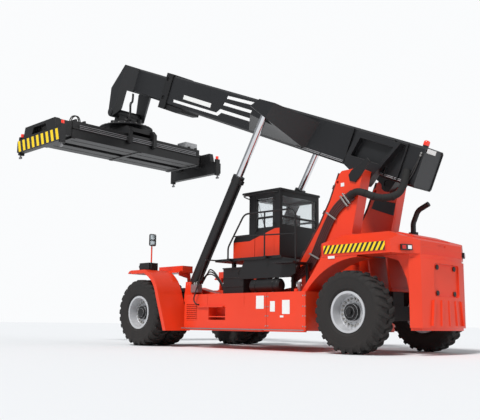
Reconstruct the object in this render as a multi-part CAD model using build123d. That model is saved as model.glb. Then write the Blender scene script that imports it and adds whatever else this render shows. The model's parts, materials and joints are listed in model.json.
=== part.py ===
from build123d import *
from math import atan2, cos, degrees, hypot, radians, sin
import os

# Reach stacker for containers, in millimetres: +X forward, +Y left, +Z up.
# While it is built, x = 0 is the front axle and z = 0 the ground.  The last
# step moves every node so that the origin is the middle of the footprint.

# ---------------------------------------------------------------- driving sizes
wheelbase = 6000
tyre_radius = 807.5
tyre_width = 500
rim_radius = 385
front_track = 3060
twin_gap = 100
rear_track = 2740
kingpin_track = 2100
rear_axle = -wheelbase

plate = 30
web_outer = 850
web_width = 300
frame_bottom = 620
frame_top = 1280
frame_nose = 420
arch_radius = 2020
arch_drop = 70
fender_arch_radius = 1710
fender_arch_rise = 170

boom_pivot_x = rear_axle + 300
boom_pivot_z = 3650
boom_angle = 23.4
boom_pin_radius = 75
outer_boom_back = -1100
outer_boom_front = 7700
outer_boom_bottom = 120
outer_boom_top = 975
outer_boom_half = 350
boom_wall = 20
inner_boom_back = 2100
inner_boom_front = 10200
inner_boom_bottom = 150
inner_boom_top = 885
inner_boom_half = 300
retract_travel = 1500
extend_travel = 4600

lift_pin_y = 1130
lift_foot_x = -1000
lift_foot_z = 1450
lift_eye_along = 2800
lift_eye_up = 790
lift_barrel_radius = 135
lift_rod_radius = 82
lift_pin_radius = 60
lift_barrel_length = 3000

hang_along = 9940
hang_up = -630
hang_pin_radius = 60
running_gap = 0.8
slide_gap = 0.5
seat_gap = 0.3

lock_spacing_long = 5853
lock_spacing_wide = 2259
spreader_length = lock_spacing_long + 207
spreader_width = lock_spacing_wide + 81
spreader_bottom = 5390
telescope_travel = 3050

sill_outer = 1620
fender_top = 1850
sill_inner = 900
fender_outer = 2080
tank_top = 1230

parts_made = {}


# ---------------------------------------------------------------- small helpers
def box(x_range, y_range, z_range):
    """A block between two x, two y and two z values."""
    size = [high - low for low, high in (x_range, y_range, z_range)]
    middle = [(high + low) / 2 for low, high in (x_range, y_range, z_range)]
    return Pos(*middle) * Box(*size)


def side_plate(outline, y_low, y_high):
    """An outline of (x, z) points, as thick as the two y values are apart."""
    face = Face(Wire.make_polygon([(x, y_low, z) for x, z in outline]))
    return extrude(face, amount=y_high - y_low, dir=(0, 1, 0))


def cross_plate(outline, x_low, x_high):
    """An outline of (y, z) points, as thick as the two x values are apart."""
    face = Face(Wire.make_polygon([(x_low, y, z) for y, z in outline]))
    return extrude(face, amount=x_high - x_low, dir=(1, 0, 0))


def flat_plate(outline, z_low, z_high):
    """An outline of (x, y) points, as thick as the two z values are apart."""
    face = Face(Wire.make_polygon([(x, y, z_low) for x, y in outline]))
    return extrude(face, amount=z_high - z_low, dir=(0, 0, 1))


def rod_x(x_range, y, z, radius):
    """A round bar along X."""
    length = x_range[1] - x_range[0]
    return Pos(sum(x_range) / 2, y, z) * Rot(0, 90, 0) * Cylinder(radius, length)


def rod_y(x, y_range, z, radius):
    """A round bar along Y."""
    length = y_range[1] - y_range[0]
    return Pos(x, sum(y_range) / 2, z) * Rot(90, 0, 0) * Cylinder(radius, length)


def rod_z(x, y, z_range, radius):
    """A round bar along Z."""
    return Pos(x, y, sum(z_range) / 2) * Cylinder(radius, z_range[1] - z_range[0])


def bar_between(start, end, radius):
    """A round bar from one point to another."""
    start_point, end_point = Vector(*start), Vector(*end)
    along = end_point - start_point
    plane = Plane(origin=start_point, z_dir=along)
    return plane * Cylinder(radius, along.length, align=(Align.CENTER, Align.CENTER, Align.MIN))


def bent_tube(points, radii, radius):
    """A round tube along straight runs joined by arcs."""
    path = FilletPolyline(*points, radius=radii)
    start = Plane(origin=path @ 0, z_dir=path % 0)
    return sweep(start * Circle(radius), path=path)


def join(shapes):
    """All shapes as one."""
    whole = shapes[0]
    for shape in shapes[1:]:
        whole = whole + shape
    return whole


def both_sides(shape):
    """A left-hand shape and its right-hand twin."""
    return shape + mirror(shape, about=Plane.XZ)


def right_hand(shape):
    """The right-hand twin of a left-hand shape."""
    return mirror(shape, about=Plane.XZ)


def arc_band(outer, inner, y_low, y_high):
    """A bent sheet: two (x, z) arcs of three points each, joined at their ends."""
    start, middle, end = [(x, y_low, z) for x, z in outer[:3]]
    back_end, back_middle, back_start = [(x, y_low, z) for x, z in inner[:3]][::-1]
    edges = [
        ThreePointArc(start, middle, end), Line(end, back_end),
        ThreePointArc(back_end, back_middle, back_start), Line(back_start, start),
    ]
    face = Face(Wire([edge.edge() for edge in edges]))
    return extrude(face, amount=y_high - y_low, dir=(0, 1, 0))


def on_boom(shape):
    """Places a shape drawn with +X along the boom and its origin at the pivot."""
    return Pos(boom_pivot_x, 0, boom_pivot_z) * Rot(0, -boom_angle, 0) * shape


def boom_point(along, up):
    """The x and z of a place given along the boom and square to it."""
    angle = radians(boom_angle)
    x = boom_pivot_x + along * cos(angle) - up * sin(angle)
    z = boom_pivot_z + along * sin(angle) + up * cos(angle)
    return x, z


def node(name, shape):
    """Keeps a finished sub-part under its name."""
    parts_made[name] = shape


# ---------------------------------------------------------------- wheels
front_pair_centre = front_track / 2
front_pair_offset = (tyre_width + twin_gap) / 2
rear_wheel_y = rear_track / 2
kingpin_y = kingpin_track / 2


def tyre(centre_y, x):
    """One wide tyre with a rounded shoulder, standing on the ground."""
    half = tyre_width / 2
    seat_half = half - 60
    profile = [
        # y, radius
        (-seat_half, rim_radius),
        (-seat_half, rim_radius + 20),
        (-half, rim_radius + 130),
        (-half + 8, tyre_radius - 150),
        (-half + 70, tyre_radius - 22),
        (-half + 150, tyre_radius),
    ]
    outline = profile + [(-y, r) for y, r in reversed(profile)]
    face = Face(Wire.make_polygon([(0, y, r) for y, r in outline]))
    return Pos(x, centre_y, tyre_radius) * revolve(face, Axis.Y)


def rim(centre_y, x, dish_side, hub_half, bore_radius=0):
    """A rim band with a dished disc; dish_side is +1 when the dish opens to +Y."""
    half = tyre_width / 2 - 60
    lip = 22
    outline = [
        # y times dish_side, radius
        (-half - lip, rim_radius + 18),
        (-half - lip, rim_radius - 30),
        (-half + 80, rim_radius - 62),
        (half - 150, rim_radius - 62),
        (half + lip, rim_radius - 30),
        (half + lip, rim_radius + 18),
        (half, rim_radius + 18),
        (half, rim_radius - 2),
        (-half, rim_radius - 2),
        (-half, rim_radius + 18),
    ]
    band = Face(Wire.make_polygon([(0, dish_side * y, r) for y, r in outline]))
    band = revolve(band, Axis.Y)
    disc_y = dish_side * (half - 190)
    disc = rod_y(0, (disc_y - 14, disc_y + 14), 0, rim_radius - 55)
    hub_y = disc_y + dish_side * 45
    hub = rod_y(0, (hub_y - hub_half, hub_y + hub_half), 0, 165)
    cap = rod_y(0, (hub_y + dish_side * hub_half - 30, hub_y + dish_side * hub_half + 30), 0, 105)
    studs = []
    for turn in range(10):
        angle = radians(36 * turn)
        stud_x, stud_z = 215 * cos(angle), 215 * sin(angle)
        studs.append(rod_y(stud_x, (disc_y - 14, disc_y + dish_side * 20 + 14), stud_z, 14))
    wheel = join([band, disc, hub, cap] + studs)
    if bore_radius:
        wheel = wheel - rod_y(0, (hub_y - 400, hub_y + 400), 0, bore_radius)
    return Pos(x, centre_y, tyre_radius) * wheel


def make_wheels():
    """Twin front wheels on the drive axle and single steered wheels behind."""
    front_tyres, front_rims = [], []
    for offset, dish_side in ((front_pair_offset, 1), (-front_pair_offset, -1)):
        centre = front_pair_centre + offset
        front_tyres.append(tyre(centre, 0))
        front_rims.append(rim(centre, 0, dish_side, 60))
    hub_start = drive_stub_half + seat_gap
    joining_hub = rod_y(0, (hub_start, front_pair_centre + front_pair_offset), tyre_radius, 150)
    front_rims.append(joining_hub)
    rear_tyre = tyre(rear_wheel_y, -wheelbase)
    rear_rim = rim(rear_wheel_y, -wheelbase, 1, 60, stub_radius + running_gap)
    for side, twin in (("left", False), ("right", True)):
        for name, shape in (
            ("front_tyres_", join(front_tyres)),
            ("front_rims_", join(front_rims)),
            ("rear_tyre_", rear_tyre),
            ("rear_rim_", rear_rim),
        ):
            node(name + side, right_hand(shape) if twin else shape)


# ---------------------------------------------------------------- axles
stub_radius = 60
kingpin_radius = 50
axle_half_height = 150
drive_housing_radius = 250
drive_housing_half = 800
drive_stub_half = 960
axle_seat = 1115
steer_beam_half = 880
fork_reach = 70
shoulder_radius = 72


def make_drive_axle():
    """The rigid front axle: a stepped housing, a differential bowl and saddles."""
    housing = rod_y(0, (-drive_housing_half, drive_housing_half), tyre_radius, drive_housing_radius)
    stubs = rod_y(0, (-drive_stub_half, drive_stub_half), tyre_radius, 175)
    flange = rod_y(0, (drive_housing_half - 60, drive_housing_half), tyre_radius, 300)
    bowl = Pos(0, 0, tyre_radius) * Rot(0, 90, 0) * Cylinder(380, 420)
    nose = Pos(-330, 0, tyre_radius) * Rot(0, -90, 0) * Cone(260, 150, 320)
    pad = box((-170, 170), (web_outer - web_width + 20, drive_housing_half - 65), (tyre_radius + 150, axle_seat))
    node("drive_axle", join([housing, stubs, both_sides(flange + pad), bowl, nose]))


def make_steer_axle():
    """The rear beam with forked ends, its steering cylinder and its mounting block."""
    low, high = tyre_radius - axle_half_height, tyre_radius + axle_half_height
    half = steer_beam_half
    outline = [
        # y, z
        (-half, low + 70), (-430, low), (430, low), (half, low + 70),
        (half, high - 70), (430, high), (-430, high), (-half, high - 70),
    ]
    beam = cross_plate(outline, -wheelbase - 150, -wheelbase + 150)
    plan = [
        # x from the axle, y
        (-150, -620), (-58, -half), (58, -half), (150, -620),
        (150, 620), (58, half), (-58, half), (-150, 620),
    ]
    beam = beam & Pos(-wheelbase, 0, 0) * flat_plate(plan, 0, 2000)
    fork_y = (half - 5, kingpin_y + fork_reach)
    for z_low in (low + 20, high - 70):
        jaw = box((-wheelbase - 70, -wheelbase + 70), fork_y, (z_low, z_low + 50))
        beam = beam + both_sides(jaw)
    kingpin = rod_z(-wheelbase, kingpin_y, (low + 20, high - 20), kingpin_radius)
    cylinder = rod_y(-wheelbase + 230, (-360, 360), tyre_radius, 75)
    ram = rod_y(-wheelbase + 230, (-560, 560), tyre_radius, 38)
    clamps = both_sides(box((-wheelbase + 140, -wheelbase + 240), (250, 320), (low + 60, high - 60)))
    block = box((-wheelbase - 140, -wheelbase + 140), (-200, 200), (high - 10, cradle_bottom))
    node("steer_axle", join([beam, both_sides(kingpin), cylinder, ram, clamps, block]))


def make_knuckles():
    """The steered hubs, turning on the kingpins."""
    low, high = tyre_radius - axle_half_height, tyre_radius + axle_half_height
    jaw_gap = 5
    barrel = rod_z(-wheelbase, kingpin_y, (low + 70 + jaw_gap, high - 70 - jaw_gap), 95)
    bore = rod_z(-wheelbase, kingpin_y, (low, high), kingpin_radius + running_gap)
    stub = rod_y(-wheelbase, (kingpin_y + 80, rear_wheel_y + 190), tyre_radius, stub_radius)
    shoulder = rod_y(-wheelbase, (kingpin_y + 75, kingpin_y + 130), tyre_radius, shoulder_radius)
    arm_x = (rear_axle + 60, rear_axle + 230)
    arm = box(arm_x, (kingpin_y - 22, kingpin_y + 22), (tyre_radius - 25, tyre_radius + 25))
    knuckle = join([barrel, stub, shoulder, arm]) - bore
    node("steering_knuckle_left", knuckle)
    node("steering_knuckle_right", right_hand(knuckle))


# ---------------------------------------------------------------- chassis
tower_top = 3800
tower_eye_x = boom_pivot_x + 460
tower_eye_z = 3560
tower_eye_radius = 32
cradle_bottom = 1250
tail_front = rear_axle - 1010
tail_back = rear_axle - 1290
tail_half = 1000
tail_corner_x = rear_axle - 1180
tail_corner_y = 835
tail_bottom = 470
tail_ledge = 1840
hood_half = 1400
hood_rear_half = 800
hood_ridge_half = 1080
hood_gauge = 25
hood_front = rear_axle + 900
hood_corner = rear_axle - 880
hood_back = rear_axle - 1160
hood_bottom = 1960
hood_top = 2375
hood_shoulder = 2165
lid_front = rear_axle - 60
lid_back = rear_axle - 960
lid_half = 700


def web_outline():
    """One long side beam with its tower, as (x, z) points."""
    return [
        (frame_nose, axle_seat), (frame_nose, frame_top + 170), (-800, frame_top + 170),
        (-1500, frame_top), (rear_axle + 2700, frame_top), (rear_axle + 1750, frame_top + 120),
        (rear_axle + 1800, 1910), (rear_axle + 1240, 2680), (rear_axle + 960, 3160),
        (rear_axle + 710, 3730), (rear_axle + 640, tower_top - 10), (rear_axle + 220, tower_top),
        (rear_axle + 100, 3740), (rear_axle + 400, 2440), (rear_axle + 250, 2130),
        (tail_front, 2080), (tail_front, frame_bottom), (-520, frame_bottom), (-400, axle_seat),
    ]


def make_main_frame():
    """Two box-section side beams with towers, tied by cross members."""
    inner = web_outer - web_width
    outline = web_outline()
    wheel_arch = rod_y(rear_axle + 50, (0, 2000), -arch_drop, arch_radius)
    inner_arch = rod_y(rear_axle + 50, (0, 2000), -arch_drop, arch_radius + plate)
    face = Face(Wire.make_polygon([(x, inner + plate, z) for x, z in outline]))
    hollow_face = offset(face, amount=-plate)
    hollow = extrude(hollow_face.face(), amount=web_width - 2 * plate, dir=(0, 1, 0)) - inner_arch
    web = side_plate(outline, inner, web_outer) - wheel_arch - hollow
    sleeve = rod_y(tower_eye_x, (inner, web_outer), tower_eye_z, tower_eye_radius + plate)
    pin_hole = rod_y(boom_pivot_x, (inner - 50, web_outer + 50), boom_pivot_z, boom_pin_radius)
    lift_hole = rod_y(tower_eye_x, (inner - 50, web_outer + 50), tower_eye_z, tower_eye_radius)
    web = web + sleeve - pin_hole - lift_hole
    ties = [
        # x range, z range
        ((-760, -610), (frame_bottom + 60, frame_top - 60)),
        ((frame_nose - 60, frame_nose), (axle_seat + 10, frame_top + 160)),
        ((-2400, -2250), (frame_bottom + 60, frame_top - 60)),
        ((rear_axle + 2050, rear_axle + 2200), (frame_bottom + 60, frame_top - 20)),
        ((rear_axle + 1220, rear_axle + 1260), (1900, 2500)),
        ((tail_front, tail_front + 40), (1700, 2060)),
    ]
    frame = both_sides(web)
    for x_range, z_range in ties:
        frame = frame + box(x_range, (-inner - 5, inner + 5), z_range)
    node("main_frame", join([frame, cylinder_feet(), axle_cradle()]))


def axle_cradle():
    """The bridge between the side beams that the rear axle's block stands under."""
    inner = web_outer - web_width
    cradle = box((rear_axle - 260, rear_axle + 260), (-420, 420), (cradle_bottom, cradle_bottom + 60))
    cheek_line = [
        # y, z
        (-420, cradle_bottom), (420, cradle_bottom), (inner + 5, 1960), (-inner - 5, 1960),
    ]
    for x in (rear_axle - 240, rear_axle + 200):
        cradle = cradle + cross_plate(cheek_line, x, x + 40)
    return cradle


def cylinder_feet():
    """The forked feet of both lift cylinders, with a shelf and a pin each."""
    low, high = lift_foot_z - 170, lift_foot_z + 110
    cheek_line = [
        # x, z
        (lift_foot_x - 230, frame_top - 160), (lift_foot_x + 150, frame_top - 160),
        (lift_foot_x + 110, low + 80), (lift_foot_x + 90, high),
        (lift_foot_x - 90, high), (lift_foot_x - 140, low + 80),
    ]
    cheeks = []
    for y in (lift_pin_y - 175, lift_pin_y + 135):
        cheeks.append(side_plate(cheek_line, y, y + 40))
    shelf = box(
        (lift_foot_x - 240, lift_foot_x + 150), (web_outer - 5, lift_pin_y + 175),
        (frame_top - 200, frame_top - 160))
    foot_pin = rod_y(lift_foot_x, (lift_pin_y - 175, lift_pin_y + 175), lift_foot_z, lift_pin_radius)
    return both_sides(join(cheeks + [shelf, foot_pin]))


def make_tail():
    """The counterweight: bowed in plan, arched at the wheels, with flared ribs."""
    def bowed(z_low, z_high, inset=0.0):
        back, corner, half = tail_back + inset, tail_corner_x + inset, tail_half - inset
        corner_y = tail_corner_y - inset
        edges = [
            Line((tail_front, -half), (tail_front, half)),
            Line((tail_front, half), (corner, corner_y)),
            ThreePointArc((corner, corner_y), (back, 0), (corner, -corner_y)),
            Line((corner, -corner_y), (tail_front, -half)),
        ]
        profile = Face(Wire([edge.edge() for edge in edges]))
        return Pos(0, 0, z_low) * extrude(profile, amount=z_high - z_low, dir=(0, 0, 1))

    body = bowed(tail_bottom + 50, tail_ledge) + bowed(tail_bottom, tail_bottom + 50, 30)
    body = body + bowed(tail_ledge, hood_bottom - 40 - seat_gap, 25)
    recess_face = box((tail_back - 60, tail_back + 70), (-480, 480), (1120, 1760))
    body = body - fillet(recess_face.edges().filter_by(Axis.X), 60)
    for y in (-330, 330):
        for z in (1190, 1690):
            body = body - rod_x((tail_back - 60, tail_back + 150), y, z, 32)
    rib_lean = (-150, -75, 0, 75, 150)
    for index, lean in enumerate(rib_lean):
        top_y = -520 + 260 * index
        reach = tail_back + 4 - 9 * (index - 2) ** 2
        rib_line = [
            # y, z
            (top_y - 34, 1050), (top_y + 34, 1050),
            (top_y + lean / 2 + 18, 560), (top_y + lean / 2 - 18, 560),
        ]
        body = body + cross_plate(rib_line, reach - 20 + 14 * abs(index - 2) ** 2, reach + 120)
    wing_top = hood_bottom - 40 - seat_gap
    wing_line = [
        # x, z
        (tail_front + 5, 1150), (tail_front + 60, 1440), (tail_front + 165, 1680),
        (tail_front + 300, wing_top), (tail_front - 5, wing_top), (tail_front - 5, 1150),
    ]
    wing = side_plate(wing_line, web_outer + seat_gap, tail_half - 25)
    node("counterweight", body + both_sides(wing))


def hood_block(inset):
    """The hood's outside form, drawn in by an inset: plan, side and cross section."""
    half, ridge, top = hood_half - inset, hood_ridge_half - inset / 2, hood_top - inset
    front, corner, back = hood_front - inset, hood_corner + inset / 2, hood_back + inset
    rear_half, low = hood_rear_half - inset / 2, hood_bottom
    plan = flat_plate(
        [(front, -half + 150), (front, half - 150), (front - 150, half), (corner, half), (back, rear_half),
         (back, -rear_half), (corner, -half), (front - 150, -half)], low, top)
    side = side_plate(
        [(front, low), (front, hood_shoulder - inset), (front - 460, top + 1), (hood_corner + 240, top + 1),
         (hood_corner - 40, top - 90), (back, top - 190), (back, low)], -half, half)
    cross = cross_plate(
        [(-half, low), (half, low), (half, hood_shoulder - inset / 2), (ridge, top), (-ridge, top),
         (-half, hood_shoulder - inset / 2)], back, front)
    return plan & side & cross


def make_hood():
    """The engine hood: bevelled, falling to the rear, thin walled and open below."""
    split = hood_bottom + 110
    outer = hood_block(0)
    shell = outer - hood_block(hood_gauge)
    all_x = (hood_back - 100, hood_front + 100)
    all_y = (-hood_half - 100, hood_half + 100)
    lower = box(all_x, all_y, (hood_bottom - 100, split))
    tower_slots = both_sides(box(
        (rear_axle + 40, hood_front + 50), (web_outer - web_width - seat_gap, web_outer + seat_gap),
        (hood_bottom - 60, hood_top + 300)))
    access = box((lid_back + 40, lid_front - 40), (-lid_half + 40, lid_half - 40), (hood_top - 250, hood_top + 60))
    pocket = box((hood_back - 50, hood_back + 14), (-150, 150), (2110, 2150))
    for y in (-560, 560):
        pocket = pocket + box((hood_back - 50, hood_back + 14), (y - 60, y + 60), (2000, 2040))
    node("engine_hood", shell - lower - tower_slots - access - pocket)

    lid_area = box((lid_back, lid_front), (-lid_half, lid_half), (hood_bottom, hood_top + 100))
    cover = (Pos(0, 0, 22) * outer & lid_area) - Pos(0, 0, seat_gap) * outer
    slots = []
    for index in range(8):
        x = lid_front - 140 - 42 * index
        slots.append(box((x - 22, x), (140, 560), (hood_top - 100, hood_top + 60)))
    cover = cover - both_sides(join(slots))
    middle = box((lid_back + 80, lid_front - 80), (-20, 20), (hood_bottom, hood_top + 40))
    stiffener = (Pos(0, 0, 5) * outer & middle) - Pos(0, 0, -20) * outer
    node("hood_lid", cover + stiffener)

    floor_plate = Pos(0, 0, -40) * (outer & box(all_x, all_y, (hood_bottom, hood_bottom + 45)))
    skirt_wall = shell & lower
    stripe_x = (rear_axle - 780, rear_axle + 720)
    stripe_plate = box(stripe_x, (hood_half, hood_half + 12), (hood_bottom + 5, hood_shoulder - 10))
    beam_y = web_outer + seat_gap
    beams = box((hood_back + 40, hood_front + 50), (-beam_y, beam_y), (hood_bottom - 45, hood_top + 100))
    node("engine_tray", floor_plate + skirt_wall + both_sides(stripe_plate) - beams)
    block = box((rear_axle - 500, rear_axle + 480), (-430, 430), (1990, 2240))
    web_face = web_outer - web_width - seat_gap
    for x in (rear_axle - 400, rear_axle + 320):
        block = block + box((x, x + 100), (-web_face, web_face), (2000, 2060))
    for y in (-260, 0, 260):
        block = block + rod_x((rear_axle - 420, rear_axle + 400), y, 2240, 45)
    node("engine_block", block)


def make_exhaust():
    """The bent exhaust stack on the right of the hood."""
    x, y, base = rear_axle + 50, -960, hood_top + seat_gap
    rise = base - seat_gap
    points = [(x, y, base), (x, y, rise + 425), (x - 130, y, rise + 705), (x - 400, y, rise + 825)]
    pipe = bent_tube(points, [220, 220], 58)
    muffler = rod_z(x, y, (base, rise + 225), 105)
    flange = rod_z(x, y, (base, base + 16), 118)
    node("exhaust_stack", join([pipe, muffler, flange]))


# ---------------------------------------------------------------- body work
platform_top = 2050
deck_half = 1300
deck_front = lift_foot_x - 950
deck_back = rear_axle + 1960
deck_length = deck_front - deck_back
cab_half = 715
cab_back = deck_back + 560
cab_nose = deck_front - 20
cab_length = cab_nose - cab_back
cab_roof = 3690
cab_wall = 60
cowl_top = 2650
belt_front = 2505
belt_rear = 2750
panel_gauge = 12
hinge_heights = (2800, 3400)
hinge_height = 45
hinge_radius = 14


def deck_at(share):
    """The x at a share of the deck's length, counted from its back."""
    return deck_back + share * deck_length


def cab_at(share):
    """The x at a share of the cab's length, counted from its back."""
    return cab_back + share * cab_length


cab_front = cab_at(0.65)
belt_start = cab_at(0.63)
belt_end = cab_at(0.1)
door_x = (cab_at(0.11), cab_at(0.52))
door_z = (platform_top + 50, cab_roof - 130)
door_hinge_x = door_x[0] - 2
door_hinge_y = cab_half + 14


def make_fenders():
    """Folded sheets over the front twins and arched plates over the rear wheels."""
    low_x, low_z, sheet_gauge = -1120, 380, 45
    inner_y = lift_pin_y + 190
    bend_start, bend_end = (-250, fender_top), (-800, 1250)
    outer_bend = [bend_start, (-610, 1610), bend_end]
    inner_bend = [(-250, fender_top - sheet_gauge), (-575, 1580), (-757, 1240)]
    lip_bend = [(-250, fender_top - 110), (-535, 1545), (-700, 1222)]
    leg = [bend_end, (low_x, low_z), (low_x + 48, low_z), inner_bend[2]]
    lip_leg = [bend_end, (low_x, low_z), (low_x + 105, low_z), lip_bend[2]]
    rear_sheet = arc_band(outer_bend, inner_bend, inner_y, fender_outer)
    rear_sheet = rear_sheet + side_plate(leg, inner_y, fender_outer)
    lip = arc_band(outer_bend, lip_bend, fender_outer - 14, fender_outer)
    lip = lip + side_plate(lip_leg, fender_outer - 14, fender_outer)
    top_line = [
        # x, z
        (-260, fender_top), (310, fender_top), (380, fender_top - 20), (430, fender_top - 70),
        (410, fender_top - 85), (300, fender_top - sheet_gauge), (-260, fender_top - sheet_gauge),
    ]
    top_sheet = side_plate(top_line, sill_inner, fender_outer)
    top_lip = box((-260, 300), (fender_outer - 14, fender_outer), (fender_top - 90, fender_top - 10))
    rear_top = box((-700, -240), (sill_inner, inner_y + 20), (fender_top - sheet_gauge, fender_top))
    bracket_line = [
        # y, z
        (web_outer + seat_gap, 1300), (web_outer + seat_gap, 1445), (sill_inner, fender_top - 10),
        (1250, fender_top - 10), (1250, 1740), (965, 1680), (940, 1300),
    ]
    brackets = cross_plate(bracket_line, -600, -560) + cross_plate(bracket_line, 150, 190)
    deck = box((-690, 250), (sill_inner, sill_inner + 330), (fender_top - 5, fender_top + 130))
    node("front_fenders", both_sides(join([rear_sheet, lip, top_sheet, top_lip, rear_top, brackets, deck])))

    arch_x, arch_z = rear_axle - 160, fender_arch_rise
    plate_bottom, plate_top = tank_top + seat_gap, hood_bottom - 40 - seat_gap
    plate_line = [
        # x, z
        (rear_axle - 100, plate_top), (rear_axle + 780, plate_top), (rear_axle + 1020, 1600),
        (rear_axle + 1320, plate_bottom), (rear_axle + 1000, plate_bottom), (rear_axle - 100, 1700),
    ]
    opening = rod_y(arch_x, (0, 2000), arch_z, fender_arch_radius)
    side = side_plate(plate_line, hood_half - 40, hood_half - 10) - opening
    liner = rod_y(arch_x, (web_outer + seat_gap, hood_half - 10), arch_z, fender_arch_radius + 22) - opening
    liner = liner & box((rear_axle - 100, rear_axle + 1400), (0, 2000), (plate_bottom, plate_top))
    node("rear_fenders", both_sides(side + liner))


def make_side_tanks():
    """The long boxes between the wheels, with a step recess, seams and a vent."""
    back = rear_axle + 1010
    outline = [(-1250, 480), (-1250, tank_top), (back, tank_top), (back, 430), (-1330, 430)]
    body = side_plate(outline, sill_inner, sill_outer)
    recess_x = (deck_at(0.665), deck_at(0.93))
    recess = box(recess_x, (sill_outer - 260, sill_outer + 10), (640, 925))
    tread = box(recess_x, (sill_outer - 230, sill_outer - 10), (700, 725))
    bar = box((recess_x[0] + 40, -1760), (sill_outer - 5, sill_outer + 45), (925, 955))
    body = body - recess + tread + bar
    for index in range(8):
        z = 660 + 46 * index
        body = body - box((-1700, -1330), (sill_outer - 30, sill_outer + 10), (z, z + 26))
    for share in (0.95, 0.38):
        x = deck_at(share)
        body = body - box((x - 4, x + 4), (sill_outer - 6, sill_outer + 10), (960, tank_top + 10))
    seam_x = rear_axle + 2080
    body = body - box((seam_x - 4, seam_x + 4), (sill_outer - 6, sill_outer + 10), (460, tank_top + 10))
    rail = box((rear_axle + 2180, -1330), (sill_outer - 40, sill_outer + 30), (400, 450))
    foot = box((rear_axle + 1030, rear_axle + 2140), (sill_outer - 60, sill_outer + 10), (405, 432))
    hangers = []
    for x in (rear_axle + 1700, rear_axle + 3500):
        hangers.append(box((x, x + 150), (web_outer, sill_inner + 5), (900, 1100)))
    cap = rod_z(rear_axle + 1350, sill_outer - 110, (tank_top - 5, tank_top + 60), 45)
    node("side_tanks", both_sides(join([body, rail, foot, cap] + hangers)))


def make_platform():
    """The deck under the cab, its skirts and walkways, and the pods below."""
    deck = box((deck_back, deck_front), (-deck_half, deck_half), (platform_top - 60, platform_top))
    skirt_line = [
        # x, z
        (deck_at(0.55), platform_top - 50), (deck_at(0.64), 1650), (deck_at(0.61), 1565),
        (deck_back - 200, 1565), (deck_back - 380, 1640), (deck_back - 380, 1945),
        (deck_back - 5, platform_top - 50),
    ]
    skirt = side_plate(skirt_line, deck_half - 60, deck_half - 40)
    sill = box((deck_back - 200, deck_at(0.56)), (deck_half - 130, deck_half - 45), (1565, 1585))
    legs = []
    for share in (0.36, 0.65, 0.93):
        x = deck_at(share)
        legs.append(box((x, x + 80), (web_outer - 120, web_outer - 40), (frame_top, platform_top - 30)))
    walk_back, walk_front = deck_back - 560, deck_back - 5
    walk = box((walk_back, walk_front), (web_outer + 60, 1560), (1840, 1870))
    for x in (walk_back + 40, walk_front - 105):
        walk = walk + box((x, x + 60), (960, 1020), (tank_top, 1850))
    link = box((deck_back - 60, deck_back + 40), (1100, 1240), (1840, 2000))
    node("cab_platform", deck + both_sides(join(legs + [skirt, sill, walk, link])))

    battery_x = (deck_at(0.58), deck_at(0.9))
    battery = box(battery_x, (950, 1225), (tank_top, 1820))
    battery = battery + box((battery_x[0] - 15, battery_x[1] + 15), (940, 1240 - seat_gap), (1820, 1848))
    for z in (1400, 1600):
        battery = battery + box((battery_x[0] + 20, battery_x[1] - 20), (1220, 1238), (z, z + 16))
    for index in range(5):
        x = battery_x[0] + 60 + 26 * index
        battery = battery - box((x, x + 12), (1215, 1240), (1660, 1780))
    node("battery_box", battery)

    tank_x = (deck_at(0.06), deck_at(0.44))
    tank = rod_x(tank_x, 1180, 1400, 150)
    for x in (tank_x[0] + 110, tank_x[1] - 160):
        tank = tank + rod_x((x, x + 50), 1180, 1400, 160)
        tank = tank + box((x, x + 50), (1080, 1280), (tank_top, 1270))
    for x, reach in ((tank_x[0], -45), (tank_x[1], 45)):
        dome = Pos(x + reach / 2, 1180, 1400) * Rot(0, 90 if reach > 0 else -90, 0) * Cone(150, 105, 45)
        tank = tank + dome
    node("air_tank", tank)
    intake_x = (deck_back - 660, deck_back - 110)
    intake = rod_x(intake_x, 1250, 1440, 120)
    intake = intake + box((intake_x[0] + 200, intake_x[0] + 350), (1180, 1320), (tank_top, 1330))
    intake = intake + rod_z(intake_x[0] + 40, 1250, (1440, 1700), 55)
    node("filter_canister", right_hand(intake))


def cab_outline(inset=0.0):
    """The cab's side, as (x, z) points, drawn in by an inset all round."""
    return [
        (cab_back + inset, platform_top + inset), (cab_nose - inset, platform_top + inset),
        (cab_nose - inset, cowl_top - 110 - inset / 2), (cab_nose - 70 - inset, cowl_top - inset),
        (cab_front - inset, cowl_top - inset), (cab_front - inset, cab_roof - 50 - inset),
        (cab_back + inset, cab_roof - 50 - inset),
    ]


def belt_height(x):
    """How high the red lower panel reaches at an x: it climbs towards the rear."""
    share = (belt_start - x) / (belt_start - belt_end)
    return belt_front + (belt_rear - belt_front) * min(1, max(0, share))


def side_panel(x_low, x_high, y_face, z_low=platform_top + 12):
    """One red lower panel of the cab's side, between two x values."""
    outline = [(x_low, z_low), (x_high, z_low), (x_high, belt_height(x_high))]
    outline += [(x, belt_height(x)) for x in (belt_start, belt_end) if x_low < x < x_high]
    outline += [(x_low, belt_height(x_low))]
    return side_plate(outline, y_face, y_face + panel_gauge)


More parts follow.
